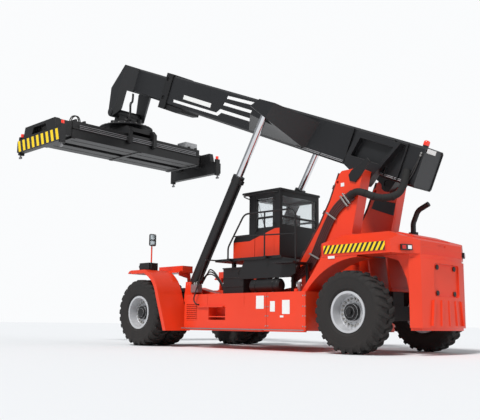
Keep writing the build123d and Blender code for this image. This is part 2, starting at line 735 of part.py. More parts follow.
def make_cab():
    """The hollow cab with its windows cut, its door, its glass and its panels."""
    half, wall = cab_half, cab_wall
    inside = half - wall
    bar = (3010, 3055)
    shell = side_plate(cab_outline(), -half, half) - side_plate(cab_outline(wall), -inside, inside)
    window_x = (cab_at(0.12), cab_at(0.575))
    window_low = [
        # x, z
        (window_x[0], 2790), (window_x[1], 2600), (window_x[1], bar[0]), (window_x[0], bar[0]),
    ]
    window_high = [(window_x[0], bar[1]), (window_x[1], bar[1]), (window_x[1], 3500), (window_x[0], 3500)]
    across = (-half + 95, half - 95)
    cuts = [
        side_plate(window_low, -half - 10, -inside + 10),
        side_plate(window_high, -half - 10, -inside + 10),
        box((cab_front - 100, cab_front + 10), across, (cowl_top + 70, 3510)),
        box((cab_back - 10, cab_back + 100), across, (2850, bar[0])),
        box((cab_back - 10, cab_back + 100), across, (bar[1], 3520)),
        box((cab_nose - 100, cab_nose + 10), across, (2180, 2440)),
        box(door_x, (inside - 10, half + 10), door_z),
    ]
    roof = side_plate(
        [(cab_back - 25, cab_roof - 55), (cab_at(0.78), cab_roof - 55), (cab_at(0.81), cab_roof - 30),
         (cab_at(0.79), cab_roof), (cab_back - 25, cab_roof)], -half - 15, half + 15)
    cowl_ribs = []
    for y in (-half, half - 12):
        cowl_ribs.append(box((cab_front - 5, cab_nose - 90), (y, y + 12), (cowl_top - 10, cowl_top + 22)))
    roof_bars = []
    for y in (-520, -260, 0, 260, 520):
        roof_bars.append(box((cab_at(0.12), cab_at(0.6)), (y - 15, y + 15), (cab_roof - 5, cab_roof + 32)))
    hinge_pads = []
    for z in hinge_heights:
        hinge_pads.append(rod_z(door_hinge_x, door_hinge_y, (z, z + hinge_height), hinge_radius))
        pad_y = (half - 5, door_hinge_y)
        hinge_pads.append(box((door_hinge_x - 45, door_hinge_x), pad_y, (z, z + hinge_height)))
    for cut in cuts:
        shell = shell - cut
    node("cab_shell", join([shell, roof] + cowl_ribs + roof_bars + hinge_pads))

    gap = 5
    leaf_x = (door_x[0] + gap, door_x[1] - gap)
    pane_x = (leaf_x[0] + 55, leaf_x[1] - 55)
    leaf = box(leaf_x, (inside + 5, half - 5), (door_z[0] + gap, door_z[1] - gap))
    for z_range in ((2800, bar[0]), (bar[1], door_z[1] - 70)):
        leaf = leaf - box(pane_x, (inside, half + 10), z_range)
    pull = box((leaf_x[1] - 50, leaf_x[1] - 20), (half - 8, half + 22), (2720, 2780))
    for z in hinge_heights:
        z_low, z_high = z + hinge_height + seat_gap, z + 2 * hinge_height
        leaf = leaf + rod_z(door_hinge_x, door_hinge_y, (z_low, z_high), hinge_radius)
        arm_end = door_hinge_x + 50
        leaf = leaf + box((door_hinge_x, arm_end), (half + seat_gap, door_hinge_y), (z_low, z_high))
        leaf = leaf + box((leaf_x[0] + 5, arm_end), (half - 15, half + 5), (z_low, z_high))
    node("cab_door", leaf + pull)
    node("door_glass", box(pane_x, (half - 35, half - 25), (2800, door_z[1] - 70)) - box(
        (pane_x[0] - 10, pane_x[1] + 10), (half - 40, half - 20), bar))
    door_face = half - 5 + seat_gap
    node("door_panel", side_panel(leaf_x[0] + 2, leaf_x[1] - 2, door_face, door_z[0] + gap + 2))

    outer_face = half + seat_gap
    panels = [
        side_panel(cab_back + 2, door_x[0] - 2, outer_face),
        side_panel(door_x[1] + 2, cab_nose - 8, outer_face),
        right_hand(side_panel(cab_back + 2, cab_nose - 8, outer_face)),
    ]
    node("cab_side_panels", join(panels))

    glass = [
        side_plate(window_low, -inside - 35, -inside - 25),
        side_plate(window_high, -inside - 35, -inside - 25),
        box((cab_back + 25, cab_back + 35), across, (2850, bar[0])),
        box((cab_back + 25, cab_back + 35), across, (bar[1], 3520)),
        box((cab_nose - 35, cab_nose - 25), across, (2180, 2440)),
        box((cab_front - 35, cab_front - 25), across, (cowl_top + 70, 3510)),
    ]
    node("cab_glass", join(glass))
    make_seat()
    make_steering()


def make_seat():
    """The operator's seat on its pedestal, with two armrests."""
    floor = platform_top + cab_wall
    front, back = cab_at(0.44), cab_at(0.15)
    seat = box((cab_at(0.23), cab_at(0.4)), (-180, 180), (floor, floor + 260))
    seat = seat + box((back, front), (-260, 260), (floor + 260, floor + 400))
    back_line = [
        # x, z
        (back, floor + 380), (cab_at(0.23), floor + 380),
        (cab_at(0.16), floor + 1050), (cab_at(0.1), floor + 1050),
    ]
    seat = seat + side_plate(back_line, -240, 240)
    for y in (-310, 260):
        seat = seat + box((cab_at(0.18), cab_at(0.45)), (y, y + 50), (floor + 560, floor + 610))
        seat = seat + box((cab_at(0.2), cab_at(0.24)), (y, y + 50), (floor + 300, floor + 570))
    for y in (-285, 235):
        seat = seat + box((cab_at(0.2), cab_at(0.24)), (y, y + 50), (floor + 290, floor + 390))
    node("operator_seat", seat)


def make_steering():
    """The steering column and its wheel."""
    floor = platform_top + cab_wall
    wheel_radius = 0.11 * cab_length
    base = (cab_at(0.58), 0, floor + 20)
    top = (cab_at(0.48), 0, floor + 640)
    column = bar_between(base, top, 45)
    wheel_plane = Plane(origin=top, z_dir=Vector(*top) - Vector(*base))
    wheel = wheel_plane * Torus(wheel_radius, 16)
    spokes = []
    for turn in (0, 120, 240):
        spoke = Pos(wheel_radius / 2, 0, 0) * Box(wheel_radius, 26, 16)
        spokes.append(wheel_plane * Rot(0, 0, turn) * spoke)
    foot = box((cab_at(0.53), cab_at(0.62)), (-120, 120), (floor, floor + 90))
    node("steering_column", join([column, wheel, foot] + spokes))


def make_rails():
    """Guard rails outside the deck's edge, grab rails, lamps and mirrors."""
    rail_y, post_foot = deck_half + 100, 1980
    front, rear = deck_at(0.742), deck_back - 500
    points = [
        (front, rail_y, post_foot), (front, rail_y, 2300), (deck_at(0.493), rail_y, 3030),
        (rear, rail_y, 3010), (rear, rail_y, 1870),
    ]
    hoop = bent_tube(points, [0.1 * deck_length, 0.105 * deck_length, 160], 20)
    middle = bar_between((deck_at(0.641), rail_y, 2540), (rear, rail_y, 2470), 15)
    feet = []
    for share in (0.742, 0.191):
        x = deck_at(share)
        feet.append(box((x - 40, x + 40), (deck_half, rail_y), (1985, 2045)))
    post = rod_z(deck_at(0.191), rail_y, (2000, 3022), 17)
    grab_y = sill_outer + 90
    front_x = lift_foot_x - 1060
    grab = bent_tube(
        [(front_x, deck_half, 2020), (front_x, grab_y, 2020), (front_x + 400, grab_y, 1100),
         (front_x + 300, grab_y, 990), (front_x + 300, sill_outer, 990)],
        [40, 120, 60], 16)
    node("handrails", both_sides(join([hoop, middle, post, grab] + feet)))
    lamp = box((-260, 120), (1680, 1960), (fender_top, 2030))
    for y in (1750, 1890):
        lamp = lamp + rod_x((110, 150), y, 1945, 58)
    pole = rod_z(-274, 1900, (fender_top + 20, 2560), 16)
    mirror_head = box((-315, -287), (1800, 2000), (2440, 2740))
    front_lamps = join([lamp, pole, fillet(mirror_head.edges().filter_by(Axis.X), 40)])
    corner_turn = degrees(atan2(hood_half - hood_rear_half, hood_corner - hood_back))
    face_middle = ((hood_corner + hood_back) / 2, (hood_half + hood_rear_half) / 2)
    stand_off = 25 + seat_gap
    lamp_x = face_middle[0] - stand_off * sin(radians(corner_turn))
    lamp_y = face_middle[1] + stand_off * cos(radians(corner_turn))
    rear_lamp = Pos(lamp_x, lamp_y, 2030) * Rot(0, 0, corner_turn) * Box(240, 50, 110)
    node("lamps", both_sides(front_lamps + rear_lamp))


clamp_height = 85


def make_tower_pipes():
    """Hydraulic tubes that climb the tower's front edge on both sides."""
    edge = [
        # x, z
        (rear_axle + 1800, 1910), (rear_axle + 1240, 2680),
        (rear_axle + 960, 3160), (rear_axle + 710, 3730),
    ]
    stand_off = 62
    tubes = []
    for lane in range(4):
        y = web_outer - 60 - 62 * lane
        points = [(rear_axle + 2100, y, 1500)]
        points += [(x + 0.82 * stand_off, y, z + 0.57 * stand_off) for x, z in edge]
        tubes.append(bent_tube(points, [300, 300, 300], 20))
    clamps = []
    for (x0, z0), (x1, z1), share in (
        (edge[0], edge[1], 0.2), (edge[0], edge[1], 0.7), (edge[1], edge[2], 0.5), (edge[2], edge[3], 0.5),
    ):
        slope = degrees(atan2(z1 - z0, x1 - x0))
        centre = (x0 + share * (x1 - x0), z0 + share * (z1 - z0))
        clamp = Pos(0, 0, -(clamp_height / 2 + seat_gap)) * Box(90, 245, clamp_height)
        clamps.append(Pos(centre[0], web_outer - 152, centre[1]) * Rot(0, -slope, 0) * clamp)
    node("tower_pipes", both_sides(join(tubes + clamps)))


# ---------------------------------------------------------------- boom
ear_slot_half = 145
ear_plate = 40
ear_back = 2430
eye_radius = 140
outer_middle = (outer_boom_bottom + outer_boom_top) / 2
lug_outer = 540


def hollow_tube(u_range, half, v_range, wall):
    """A rectangular tube along the boom with chamfered long edges."""
    def section(inset, u):
        low_v, high_v = v_range[0] + inset, v_range[1] - inset
        side = half - inset
        cut = 45
        outline = [
            (side, low_v + cut), (side, high_v - cut), (side - cut, high_v), (cut - side, high_v),
            (-side, high_v - cut), (-side, low_v + cut), (cut - side, low_v), (side - cut, low_v),
        ]
        return [(y, v) for y, v in outline]
    outside = cross_plate(section(0, 0), *u_range)
    inside = cross_plate(section(wall, 0), u_range[0] - 10, u_range[1] + 10)
    return outside - inside


def make_outer_boom():
    """The lower boom: a thin box beam with pivot lugs and flared cylinder ears."""
    tube = hollow_tube(
        (outer_boom_back, outer_boom_front), outer_boom_half, (outer_boom_bottom, outer_boom_top), boom_wall)
    back_wall = box(
        (outer_boom_back + 20, outer_boom_back + 60),
        (-outer_boom_half + boom_wall - 5, outer_boom_half - boom_wall + 5),
        (outer_boom_bottom + boom_wall - 5, outer_boom_top - boom_wall + 5))
    lug_line = [
        # along, up
        (-610, 900), (520, 900), (640, 330), (620, 130), (130, -60), (90, -150),
        (0, -185), (-110, -150), (-150, -60), (-210, 120), (-330, 330),
    ]
    lug = side_plate(lug_line, outer_boom_half - boom_wall + 2, lug_outer)
    relief_line = [
        # along, up
        (-480, 780), (420, 780), (520, 360), (-260, 360),
    ]
    relief = side_plate(relief_line, outer_boom_half + 60, lug_outer + 10)
    lug = lug - relief
    ribs = []
    for along in (-700, -360, 760):
        ribs.append(box((along, along + 25), (outer_boom_half - 5, outer_boom_half + 45), (150, 940)))
    base = [(1800, 850), (2015, 160), (4010, 160), (4110, 750)]
    tip = [(ear_back, 970), (2600, 590), (3060, 640), (3180, 760), (2950, 965)]
    base_face = Face(Wire.make_polygon([(u, outer_boom_half - boom_wall + 2, v) for u, v in base]))
    tip_y = lift_pin_y + ear_slot_half + ear_plate
    tip_face = Face(Wire.make_polygon([(u, tip_y, v) for u, v in tip[:1] + tip[1:2] + tip[3:]]))
    gusset = loft([base_face, tip_face], ruled=True)
    slot = box(
        (ear_back + 190, 4300),
        (lift_pin_y - ear_slot_half, lift_pin_y + ear_slot_half), (-100, 1200))
    gusset = gusset - slot
    pivot_hole = rod_y(0, (0, 1000), 0, boom_pin_radius + running_gap)
    one_side = join([lug, gusset] + ribs) - pivot_hole
    pivot_pin_boss = rod_y(0, (lug_outer - 190, web_outer - web_width - slide_gap), 0, 150)
    one_side = one_side + (pivot_pin_boss - pivot_hole)
    lamp = rod_z(outer_boom_back + 250, 0, (outer_boom_top, outer_boom_top + 110), 62)
    whole = join([tube, back_wall, both_sides(one_side), lamp])
    node("outer_boom", on_boom(whole))

    pin_y = web_outer - web_width - 1
    pin = rod_y(0, (pin_y - 200, web_outer + 12), 0, boom_pin_radius - seat_gap)
    cap_line = [(120, 90), (-40, 150), (-150, 60), (-130, -70), (-20, -130), (420, -190), (450, -90)]
    cap = side_plate(cap_line, web_outer + seat_gap, web_outer + 30)
    turned = Pos(boom_pivot_x, 0, boom_pivot_z) * (pin + cap.rotate(Axis((0, 0, 0), (0, 1, 0)), 200))
    node("boom_pins", both_sides(turned))


def make_collar():
    """The black front collar of the lower boom, with its wear pad pockets."""
    half, low, high = outer_boom_half, outer_boom_bottom, outer_boom_top
    front = outer_boom_front
    grow = 30
    ring = box((front - 60, front + 250), (-half - grow, half + grow), (low - 150, high + grow))
    seat_y, passage_y = half + seat_gap, inner_boom_half + 12
    ring = ring - box((front - 70, front + seat_gap), (-seat_y, seat_y), (low - seat_gap, high + seat_gap))
    passage_z = (inner_boom_bottom - slide_gap, inner_boom_top + 12)
    ring = ring - box((front - 10, front + 260), (-passage_y, passage_y), passage_z)
    for v in (low + 110, high - 200):
        pocket = box((front + 70, front + 190), (half + 5, half + grow + 10), (v, v + 110))
        ring = ring - both_sides(pocket)
    shoe_line = [
        # along, up
        (6900, low - seat_gap), (6900, low - 90), (7150, low - 150),
        (front - 60, low - 150), (front - 60, low - seat_gap),
    ]
    shoe = side_plate(shoe_line, -half + 20, half - 20)
    node("boom_collar", on_boom(ring + shoe))


def make_inner_boom():
    """The sliding boom, and the forked head that hangs the spreader."""
    tube = hollow_tube(
        (inner_boom_back, head_start), inner_boom_half, (inner_boom_bottom, inner_boom_top), boom_wall - 4)
    tail_pad = box((inner_boom_back + 20, inner_boom_back + 300), (-inner_boom_half + 30, inner_boom_half - 30),
                   (inner_boom_top, outer_boom_top - boom_wall - slide_gap))
    node("inner_boom", on_boom(tube + tail_pad))

    outline = [
        # along, up
        (head_start, inner_boom_bottom), (head_start, inner_boom_top), (head_start + 340, inner_boom_top),
        (head_start + 750, 75), (hang_along + 120, hang_up - 10), (hang_along + 60, hang_up - 130),
        (hang_along - 60, hang_up - 145), (hang_along - 170, hang_up - 80), (head_start + 90, -350),
        (head_start + 110, 60),
    ]
    whole = side_plate(outline, -head_half, head_half)
    plan = flat_plate(
        [(head_start, inner_boom_half), (head_start + 280, head_half), (head_end, head_half),
         (head_end, -head_half), (head_start + 280, -head_half), (head_start, -inner_boom_half)],
        hang_up - 370, inner_boom_top + 115)
    between = head_half - head_leg
    gap = box((head_start - 10, head_end + 100), (-between, between), (hang_up - 370, inner_boom_bottom - 10))
    mouth_line = [
        # along, up
        (head_start + 250, inner_boom_bottom + 110), (head_start + 250, inner_boom_top - 125),
        (head_start + 310, inner_boom_top - 125), (head_start + 560, inner_boom_bottom + 110),
    ]
    mouth = side_plate(mouth_line, -between, between)
    head = (whole & plan) - gap - mouth
    pin = rod_y(hang_along, (-head_half - 25, head_half + 25), hang_up, hang_pin_radius)
    rim_disc = rod_y(hang_along, (head_half - 5, head_half + 20), hang_up, 115)
    node("boom_head", on_boom(join([head, pin, both_sides(rim_disc)])))


head_start = inner_boom_front - 700
head_end = inner_boom_front + 200
head_half = 610
head_leg = 170


# ---------------------------------------------------------------- lift cylinders
lift_eye_x, lift_eye_z = boom_point(lift_eye_along, lift_eye_up)
lift_reach = hypot(lift_eye_x - lift_foot_x, lift_eye_z - lift_foot_z)
lift_lean = degrees(atan2(lift_eye_z - lift_foot_z, lift_eye_x - lift_foot_x))
rod_length = 3430


def on_cylinder(shape):
    """Places a shape drawn with +X along the cylinder and its origin at the foot."""
    return Pos(lift_foot_x, lift_pin_y, lift_foot_z) * Rot(0, -lift_lean, 0) * shape


def make_lift_cylinders():
    """Both lift cylinders: barrels on the chassis feet, rods up to the boom ears."""
    barrel = rod_x((60, lift_barrel_length), 0, 0, lift_barrel_radius)
    bore_radius = lift_rod_radius + running_gap
    eye = rod_y(0, (-115, 115), 0, eye_radius)
    gland = rod_x((lift_barrel_length - 170, lift_barrel_length), 0, 0, lift_barrel_radius + 9)
    port = box((190, 290), (-60, 60), (lift_barrel_radius - 20, lift_barrel_radius + 70))
    feed = rod_x((240, lift_barrel_length - 90), 0, lift_barrel_radius + 34, 20)
    port_z = (lift_barrel_radius - 20, lift_barrel_radius + 60)
    upper_port = box((lift_barrel_length - 150, lift_barrel_length - 60), (-45, 45), port_z)
    body = join([barrel, eye, gland, port, feed, upper_port])
    body = body - rod_x((165, lift_barrel_length + 10), 0, 0, bore_radius)
    body = body - rod_y(0, (-200, 200), 0, lift_pin_radius + running_gap)
    node("lift_cylinder_barrels", both_sides(on_cylinder(body)))

    rod = rod_x((lift_reach - rod_length, lift_reach - 60), 0, 0, lift_rod_radius)
    rod_eye = rod_y(lift_reach, (-ear_slot_half + 6, ear_slot_half - 6), 0, eye_radius)
    node("lift_cylinder_rods", both_sides(on_cylinder(rod + rod_eye)))


# ---------------------------------------------------------------- spreader
hang_x, hang_z = boom_point(hang_along, hang_up)
ring_radius = 520
ring_bottom = 6440
ring_split = 6530
frame_low = 6250
beam_top = 6200
beam_bottom = 5700
beam_half_length = 2400
beam_side = 795
tube_wide = 270
tube_high = 420
tube_bottom = 5740
tube_length = 4300
end_inner = spreader_length / 2 - 200


def make_head_carrier():
    """The level-keeping carrier that hangs on the boom head's pin."""
    cross = rod_y(hang_x, (-head_half + head_leg + 8, head_half - head_leg - 8), hang_z, 135)
    bore = rod_y(hang_x, (-700, 700), hang_z, hang_pin_radius + running_gap)
    web_line = [
        # y, z
        (-330, hang_z), (330, hang_z), (430, ring_split + 60), (-430, ring_split + 60),
    ]
    web = cross_plate(web_line, hang_x - 110, hang_x + 110)
    neck = side_plate(
        [(hang_x - 110, hang_z - 60), (hang_x + 110, hang_z - 60),
         (hang_x + 360, ring_split + 50), (hang_x - 360, ring_split + 50)], -60, 60)
    disc = rod_z(hang_x, 0, (ring_split + slide_gap, ring_split + 70), ring_radius)
    motor = rod_z(hang_x + 330, 260, (ring_split + 60, ring_split + 330), 85)
    motor = motor + rod_z(hang_x - 330, -260, (ring_split + 60, ring_split + 330), 85)
    node("head_carrier", join([cross, web, neck, disc, motor]) - bore)


def make_rotator():
    """The turning ring and the arched frame that holds the side-shift rails."""
    ring = rod_z(hang_x, 0, (ring_bottom, ring_split), ring_radius - 30)
    plate_part = box((hang_x - 760, hang_x + 760), (-520, 520), (frame_low + 60, ring_bottom))
    plate_part = plate_part - box((hang_x - 200, hang_x + 200), (-530, 530), (frame_low + 50, ring_bottom - 60))
    arms = [Pos(hang_x, y, 0) * cross_arm() for y in (-520, 400)]
    node("rotator_frame", join([ring, plate_part] + arms))


def cross_arm():
    """One arch across the spreader, with toes that hook under the side rails."""
    outer, toe, inner = beam_side + 130, beam_side + 6, beam_side + 46
    half_outline = [
        # x, z
        (inner, beam_top + slide_gap), (inner, 5960 - slide_gap), (toe, 5960 - slide_gap), (toe, 5890),
        (outer, 5890), (outer, 6310), (outer - 130, ring_bottom),
    ]
    outline = half_outline + [(-x, z) for x, z in reversed(half_outline)]
    return side_plate(outline, 0, 120)


def make_spreader():
    """The side-shifting main frame, the telescopic ends and their twistlocks."""
    # The two beams of each end lie beside those of the other end.
    left_lanes = (-640, 290)
    twin_turn = Pos(hang_x, 0, 0) * Rot(0, 0, 180) * Pos(-hang_x, 0, 0)
    clearance = 6
    tubes = []
    for lane in (-640, -290, 290, 640):
        outside = box(
            (hang_x + lane - tube_wide / 2 - 20, hang_x + lane + tube_wide / 2 + 20),
            (-beam_half_length, beam_half_length), (beam_bottom, beam_top))
        inside = box(
            (hang_x + lane - tube_wide / 2 - clearance, hang_x + lane + tube_wide / 2 + clearance),
            (-beam_half_length - 10, beam_half_length + 10),
            (tube_bottom - slide_gap, tube_bottom + tube_high + clearance))
        tubes.append((outside, inside))
    main = join([outside for outside, inside in tubes])
    for y in (-beam_half_length, -60, beam_half_length - 120):
        main = main + box((hang_x - 780, hang_x + 780), (y, y + 120), (beam_bottom - 20, beam_top))
    for outside, inside in tubes:
        main = main - inside
    rail = box((hang_x + beam_side - 5, hang_x + beam_side + 40), (-beam_half_length, beam_half_length), (5960, 6000))
    main = main + rail + twin_turn * rail
    node("spreader_main", main)

    post_half_x, post_y = lock_spacing_wide / 2, lock_spacing_long / 2
    half_width, half_length = spreader_width / 2, spreader_length / 2
    beams = []
    for lane in left_lanes:
        beams.append(box(
            (hang_x + lane - tube_wide / 2, hang_x + lane + tube_wide / 2),
            (end_inner + 5 - tube_length, end_inner + 5), (tube_bottom, tube_bottom + tube_high)))
    end_outline = [
        # x, z
        (-half_width, spreader_bottom + 60), (half_width, spreader_bottom + 60), (half_width, 5830),
        (900, 5870), (820, 6165), (-820, 6165), (-900, 5870), (-half_width, 5830),
    ]
    end = Pos(hang_x, 0, 0) * side_plate(end_outline, end_inner, half_length - 40)
    for side in (-1, 1):
        corner = box(
            (hang_x + side * post_half_x - 40, hang_x + side * post_half_x + 40),
            (post_y - 100, half_length - 40), (spreader_bottom, 5930))
        end = end + corner
    window_line = [
        # x, z
        (-420, 5880), (420, 5880), (340, 6080), (-340, 6080),
    ]
    window = Pos(hang_x, 0, 0) * side_plate(window_line, end_inner - 10, half_length)
    locks = []
    for side in (-1, 1):
        x = hang_x + side * post_half_x
        shank = rod_z(x, post_y, (spreader_bottom - 60, spreader_bottom - seat_gap), 27)
        head = box((x - 52, x + 52), (post_y - 27, post_y + 27), (spreader_bottom - 105, spreader_bottom - 55))
        locks.append(shank + head)
    panel = box(
        (hang_x - half_width, hang_x + half_width),
        (half_length - 45, half_length), (spreader_bottom + 70, spreader_bottom + 410))
    lamps = []
    for side in (-1, 1):
        lamps.append(rod_z(hang_x + side * (post_half_x - 10), post_y - 20, (5930 + seat_gap, 6030), 48))
    for name, shape in (
        ("telescopic_end_", join(beams + [end, panel]) - window),
        ("twistlocks_", join(locks)),
        ("beacons_", join(lamps)),
    ):
        node(name + "left", shape)
        node(name + "right", twin_turn * shape)


# ---------------------------------------------------------------- all sub-parts
def build_all():
    """Makes every sub-part."""
    make_wheels()
    make_drive_axle()
    make_steer_axle()
    make_knuckles()
    make_main_frame()
    make_tail()
    make_hood()
    make_exhaust()
    make_fenders()
    make_side_tanks()
    make_platform()
    make_cab()
    make_rails()
    make_tower_pipes()
    make_outer_boom()
    make_collar()
    make_inner_boom()
    make_lift_cylinders()
    make_head_carrier()
    make_rotator()
    make_spreader()


build_all()
boxes = [shape.bounding_box() for shape in parts_made.values()]
front_end = max(limits.max.X for limits in boxes)
rear_end = min(limits.min.X for limits in boxes)
shift_x = -(front_end + rear_end) / 2

if __name__ == "__main__":
    os.makedirs("parts", exist_ok=True)
    for name, shape in parts_made.items():
        export_step(Pos(shift_x, 0, 0) * shape, f"parts/{name}.step")
    print(len(parts_made), "sub-parts, shifted by", round(shift_x, 3))
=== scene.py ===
"""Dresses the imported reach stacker: finishes, tyres, hoses, stripes, lamps and small fittings.

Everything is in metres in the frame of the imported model: +X forward, +Y to the
driver's left, +Z up, with the origin on the ground under the middle of the machine.
"""

from __future__ import annotations

import json
import logging
import math
from dataclasses import dataclass
from enum import Enum
from typing import Iterable, Sequence

import bpy
from mathutils import Matrix, Vector

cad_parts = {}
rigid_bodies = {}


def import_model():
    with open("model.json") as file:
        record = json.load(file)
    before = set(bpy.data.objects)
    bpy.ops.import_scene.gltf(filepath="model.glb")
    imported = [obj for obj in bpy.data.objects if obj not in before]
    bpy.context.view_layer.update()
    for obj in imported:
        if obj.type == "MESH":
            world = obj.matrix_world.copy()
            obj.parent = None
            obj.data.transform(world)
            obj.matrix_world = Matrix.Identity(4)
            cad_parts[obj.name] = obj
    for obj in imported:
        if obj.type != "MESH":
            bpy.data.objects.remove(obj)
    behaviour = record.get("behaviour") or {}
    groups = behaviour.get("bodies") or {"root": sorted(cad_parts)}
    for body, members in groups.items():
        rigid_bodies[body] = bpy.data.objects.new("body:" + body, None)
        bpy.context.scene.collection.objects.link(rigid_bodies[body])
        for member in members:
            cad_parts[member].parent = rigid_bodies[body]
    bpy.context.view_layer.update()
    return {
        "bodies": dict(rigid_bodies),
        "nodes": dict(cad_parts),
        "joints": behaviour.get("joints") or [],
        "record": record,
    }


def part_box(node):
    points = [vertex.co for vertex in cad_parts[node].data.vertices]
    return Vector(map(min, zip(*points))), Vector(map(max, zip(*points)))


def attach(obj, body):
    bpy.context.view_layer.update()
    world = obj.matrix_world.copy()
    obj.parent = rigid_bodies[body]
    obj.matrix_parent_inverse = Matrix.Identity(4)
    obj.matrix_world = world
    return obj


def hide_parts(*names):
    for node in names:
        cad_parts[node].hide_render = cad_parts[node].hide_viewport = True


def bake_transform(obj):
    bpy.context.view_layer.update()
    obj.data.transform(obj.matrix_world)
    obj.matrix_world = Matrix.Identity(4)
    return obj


Point = tuple[float, float, float]
Pair = tuple[float, float]
Piece = bpy.types.Object
Socket = bpy.types.NodeSocket
log = logging.getLogger("stacker")


# ------------------------------------------------------------------ shader parts
class Sockets(Enum):
    """Kinds of socket that the shared shader groups use."""

    FLOAT = "NodeSocketFloat"
    COLOUR = "NodeSocketColor"
    VECTOR = "NodeSocketVector"


class Wiring:
    """A thin helper for adding and linking shader nodes."""

    def __init__(self, tree: bpy.types.NodeTree) -> None:
        """Keeps the tree of a material or of a group."""
        self.tree = tree

    def feed(self, socket: Socket, value: object) -> None:
        """Links a socket to another, or writes a plain value on it.

        Args:
            socket: The input that is fed.
            value: An output socket, a number, or a colour.
        """
        if isinstance(value, Socket):
            self.tree.links.new(value, socket)
        else:
            socket.default_value = value

    def add(self, kind: str, feeds: dict | None = None, **settings: object) -> bpy.types.Node:
        """Adds a node, sets its properties and feeds its inputs.

        Args:
            kind: The node's type name.
            feeds: Sockets or plain values for its inputs, by name or number.
            **settings: Properties set on the node.

        Returns:
            The new node.
        """
        made = self.tree.nodes.new(kind)
        for key, value in settings.items():
            setattr(made, key, value)
        for key, value in (feeds or {}).items():
            self.feed(made.inputs[key], value)
        return made

    def place(self) -> Socket:
        """The Object coordinates."""
        return self.add("ShaderNodeTexCoord").outputs["Object"]

    def math(self, operation: str, *values: object, clamp: bool = False) -> Socket:
        """The result of a Math node whose inputs are sockets or numbers."""
        made = self.add("ShaderNodeMath", dict(enumerate(values)), operation=operation, use_clamp=clamp)
        return made.outputs[0]

    def dot(self, first: object, second: object) -> Socket:
        """The dot product of two vectors."""
        made = self.add("ShaderNodeVectorMath", {0: first, 1: second}, operation="DOT_PRODUCT")
        return made.outputs["Value"]

    def mix(self, factor: object, low: object, high: object) -> Socket:
        """The colour between low and high."""
        return self.add("ShaderNodeMix", {"Factor": factor, 6: low, 7: high}, data_type="RGBA").outputs[2]

    def noise(self, place: Socket, scale: float, detail: float = 3.0, stretch: Point = (1, 1, 1)) -> Socket:
        """A noise value over stretched coordinates.

        Args:
            place: The coordinate socket.
            scale: Noise scale.
            detail: Noise detail.
            stretch: How much each axis is scaled before the noise.

        Returns:
            The noise factor.
        """
        mapped = self.add("ShaderNodeMapping", {"Vector": place, "Scale": stretch}).outputs[0]
        feeds = {"Vector": mapped, "Scale": scale, "Detail": detail}
        return self.add("ShaderNodeTexNoise", feeds).outputs["Fac"]

    def between(self, value: object, low: float, high: float) -> Socket:
        """Turns a value from low to high into 0 to 1."""
        feeds = {"Value": value, "From Min": low, "From Max": high}
        return self.add("ShaderNodeMapRange", feeds, clamp=True).outputs[0]


def new_group(name: str, inputs: dict[str, Sockets],
              outputs: dict[str, Sockets]) -> tuple[Wiring, dict, dict]:
    """Starts a shader group.

    Args:
        name: The group's name.
        inputs: Input names and kinds.
        outputs: Output names and kinds.

    Returns:
        The group's wiring, its input sockets and its output sockets.
    """
    tree = bpy.data.node_groups.new(name, "ShaderNodeTree")
    for way, sockets in (("INPUT", inputs), ("OUTPUT", outputs)):
        for label, kind in sockets.items():
            tree.interface.new_socket(label, in_out=way, socket_type=kind.value)
    wiring = Wiring(tree)
    start, end = wiring.add("NodeGroupInput"), wiring.add("NodeGroupOutput")
    given = {label: start.outputs[label] for label in inputs}
    return wiring, given, {label: end.inputs[label] for label in outputs}


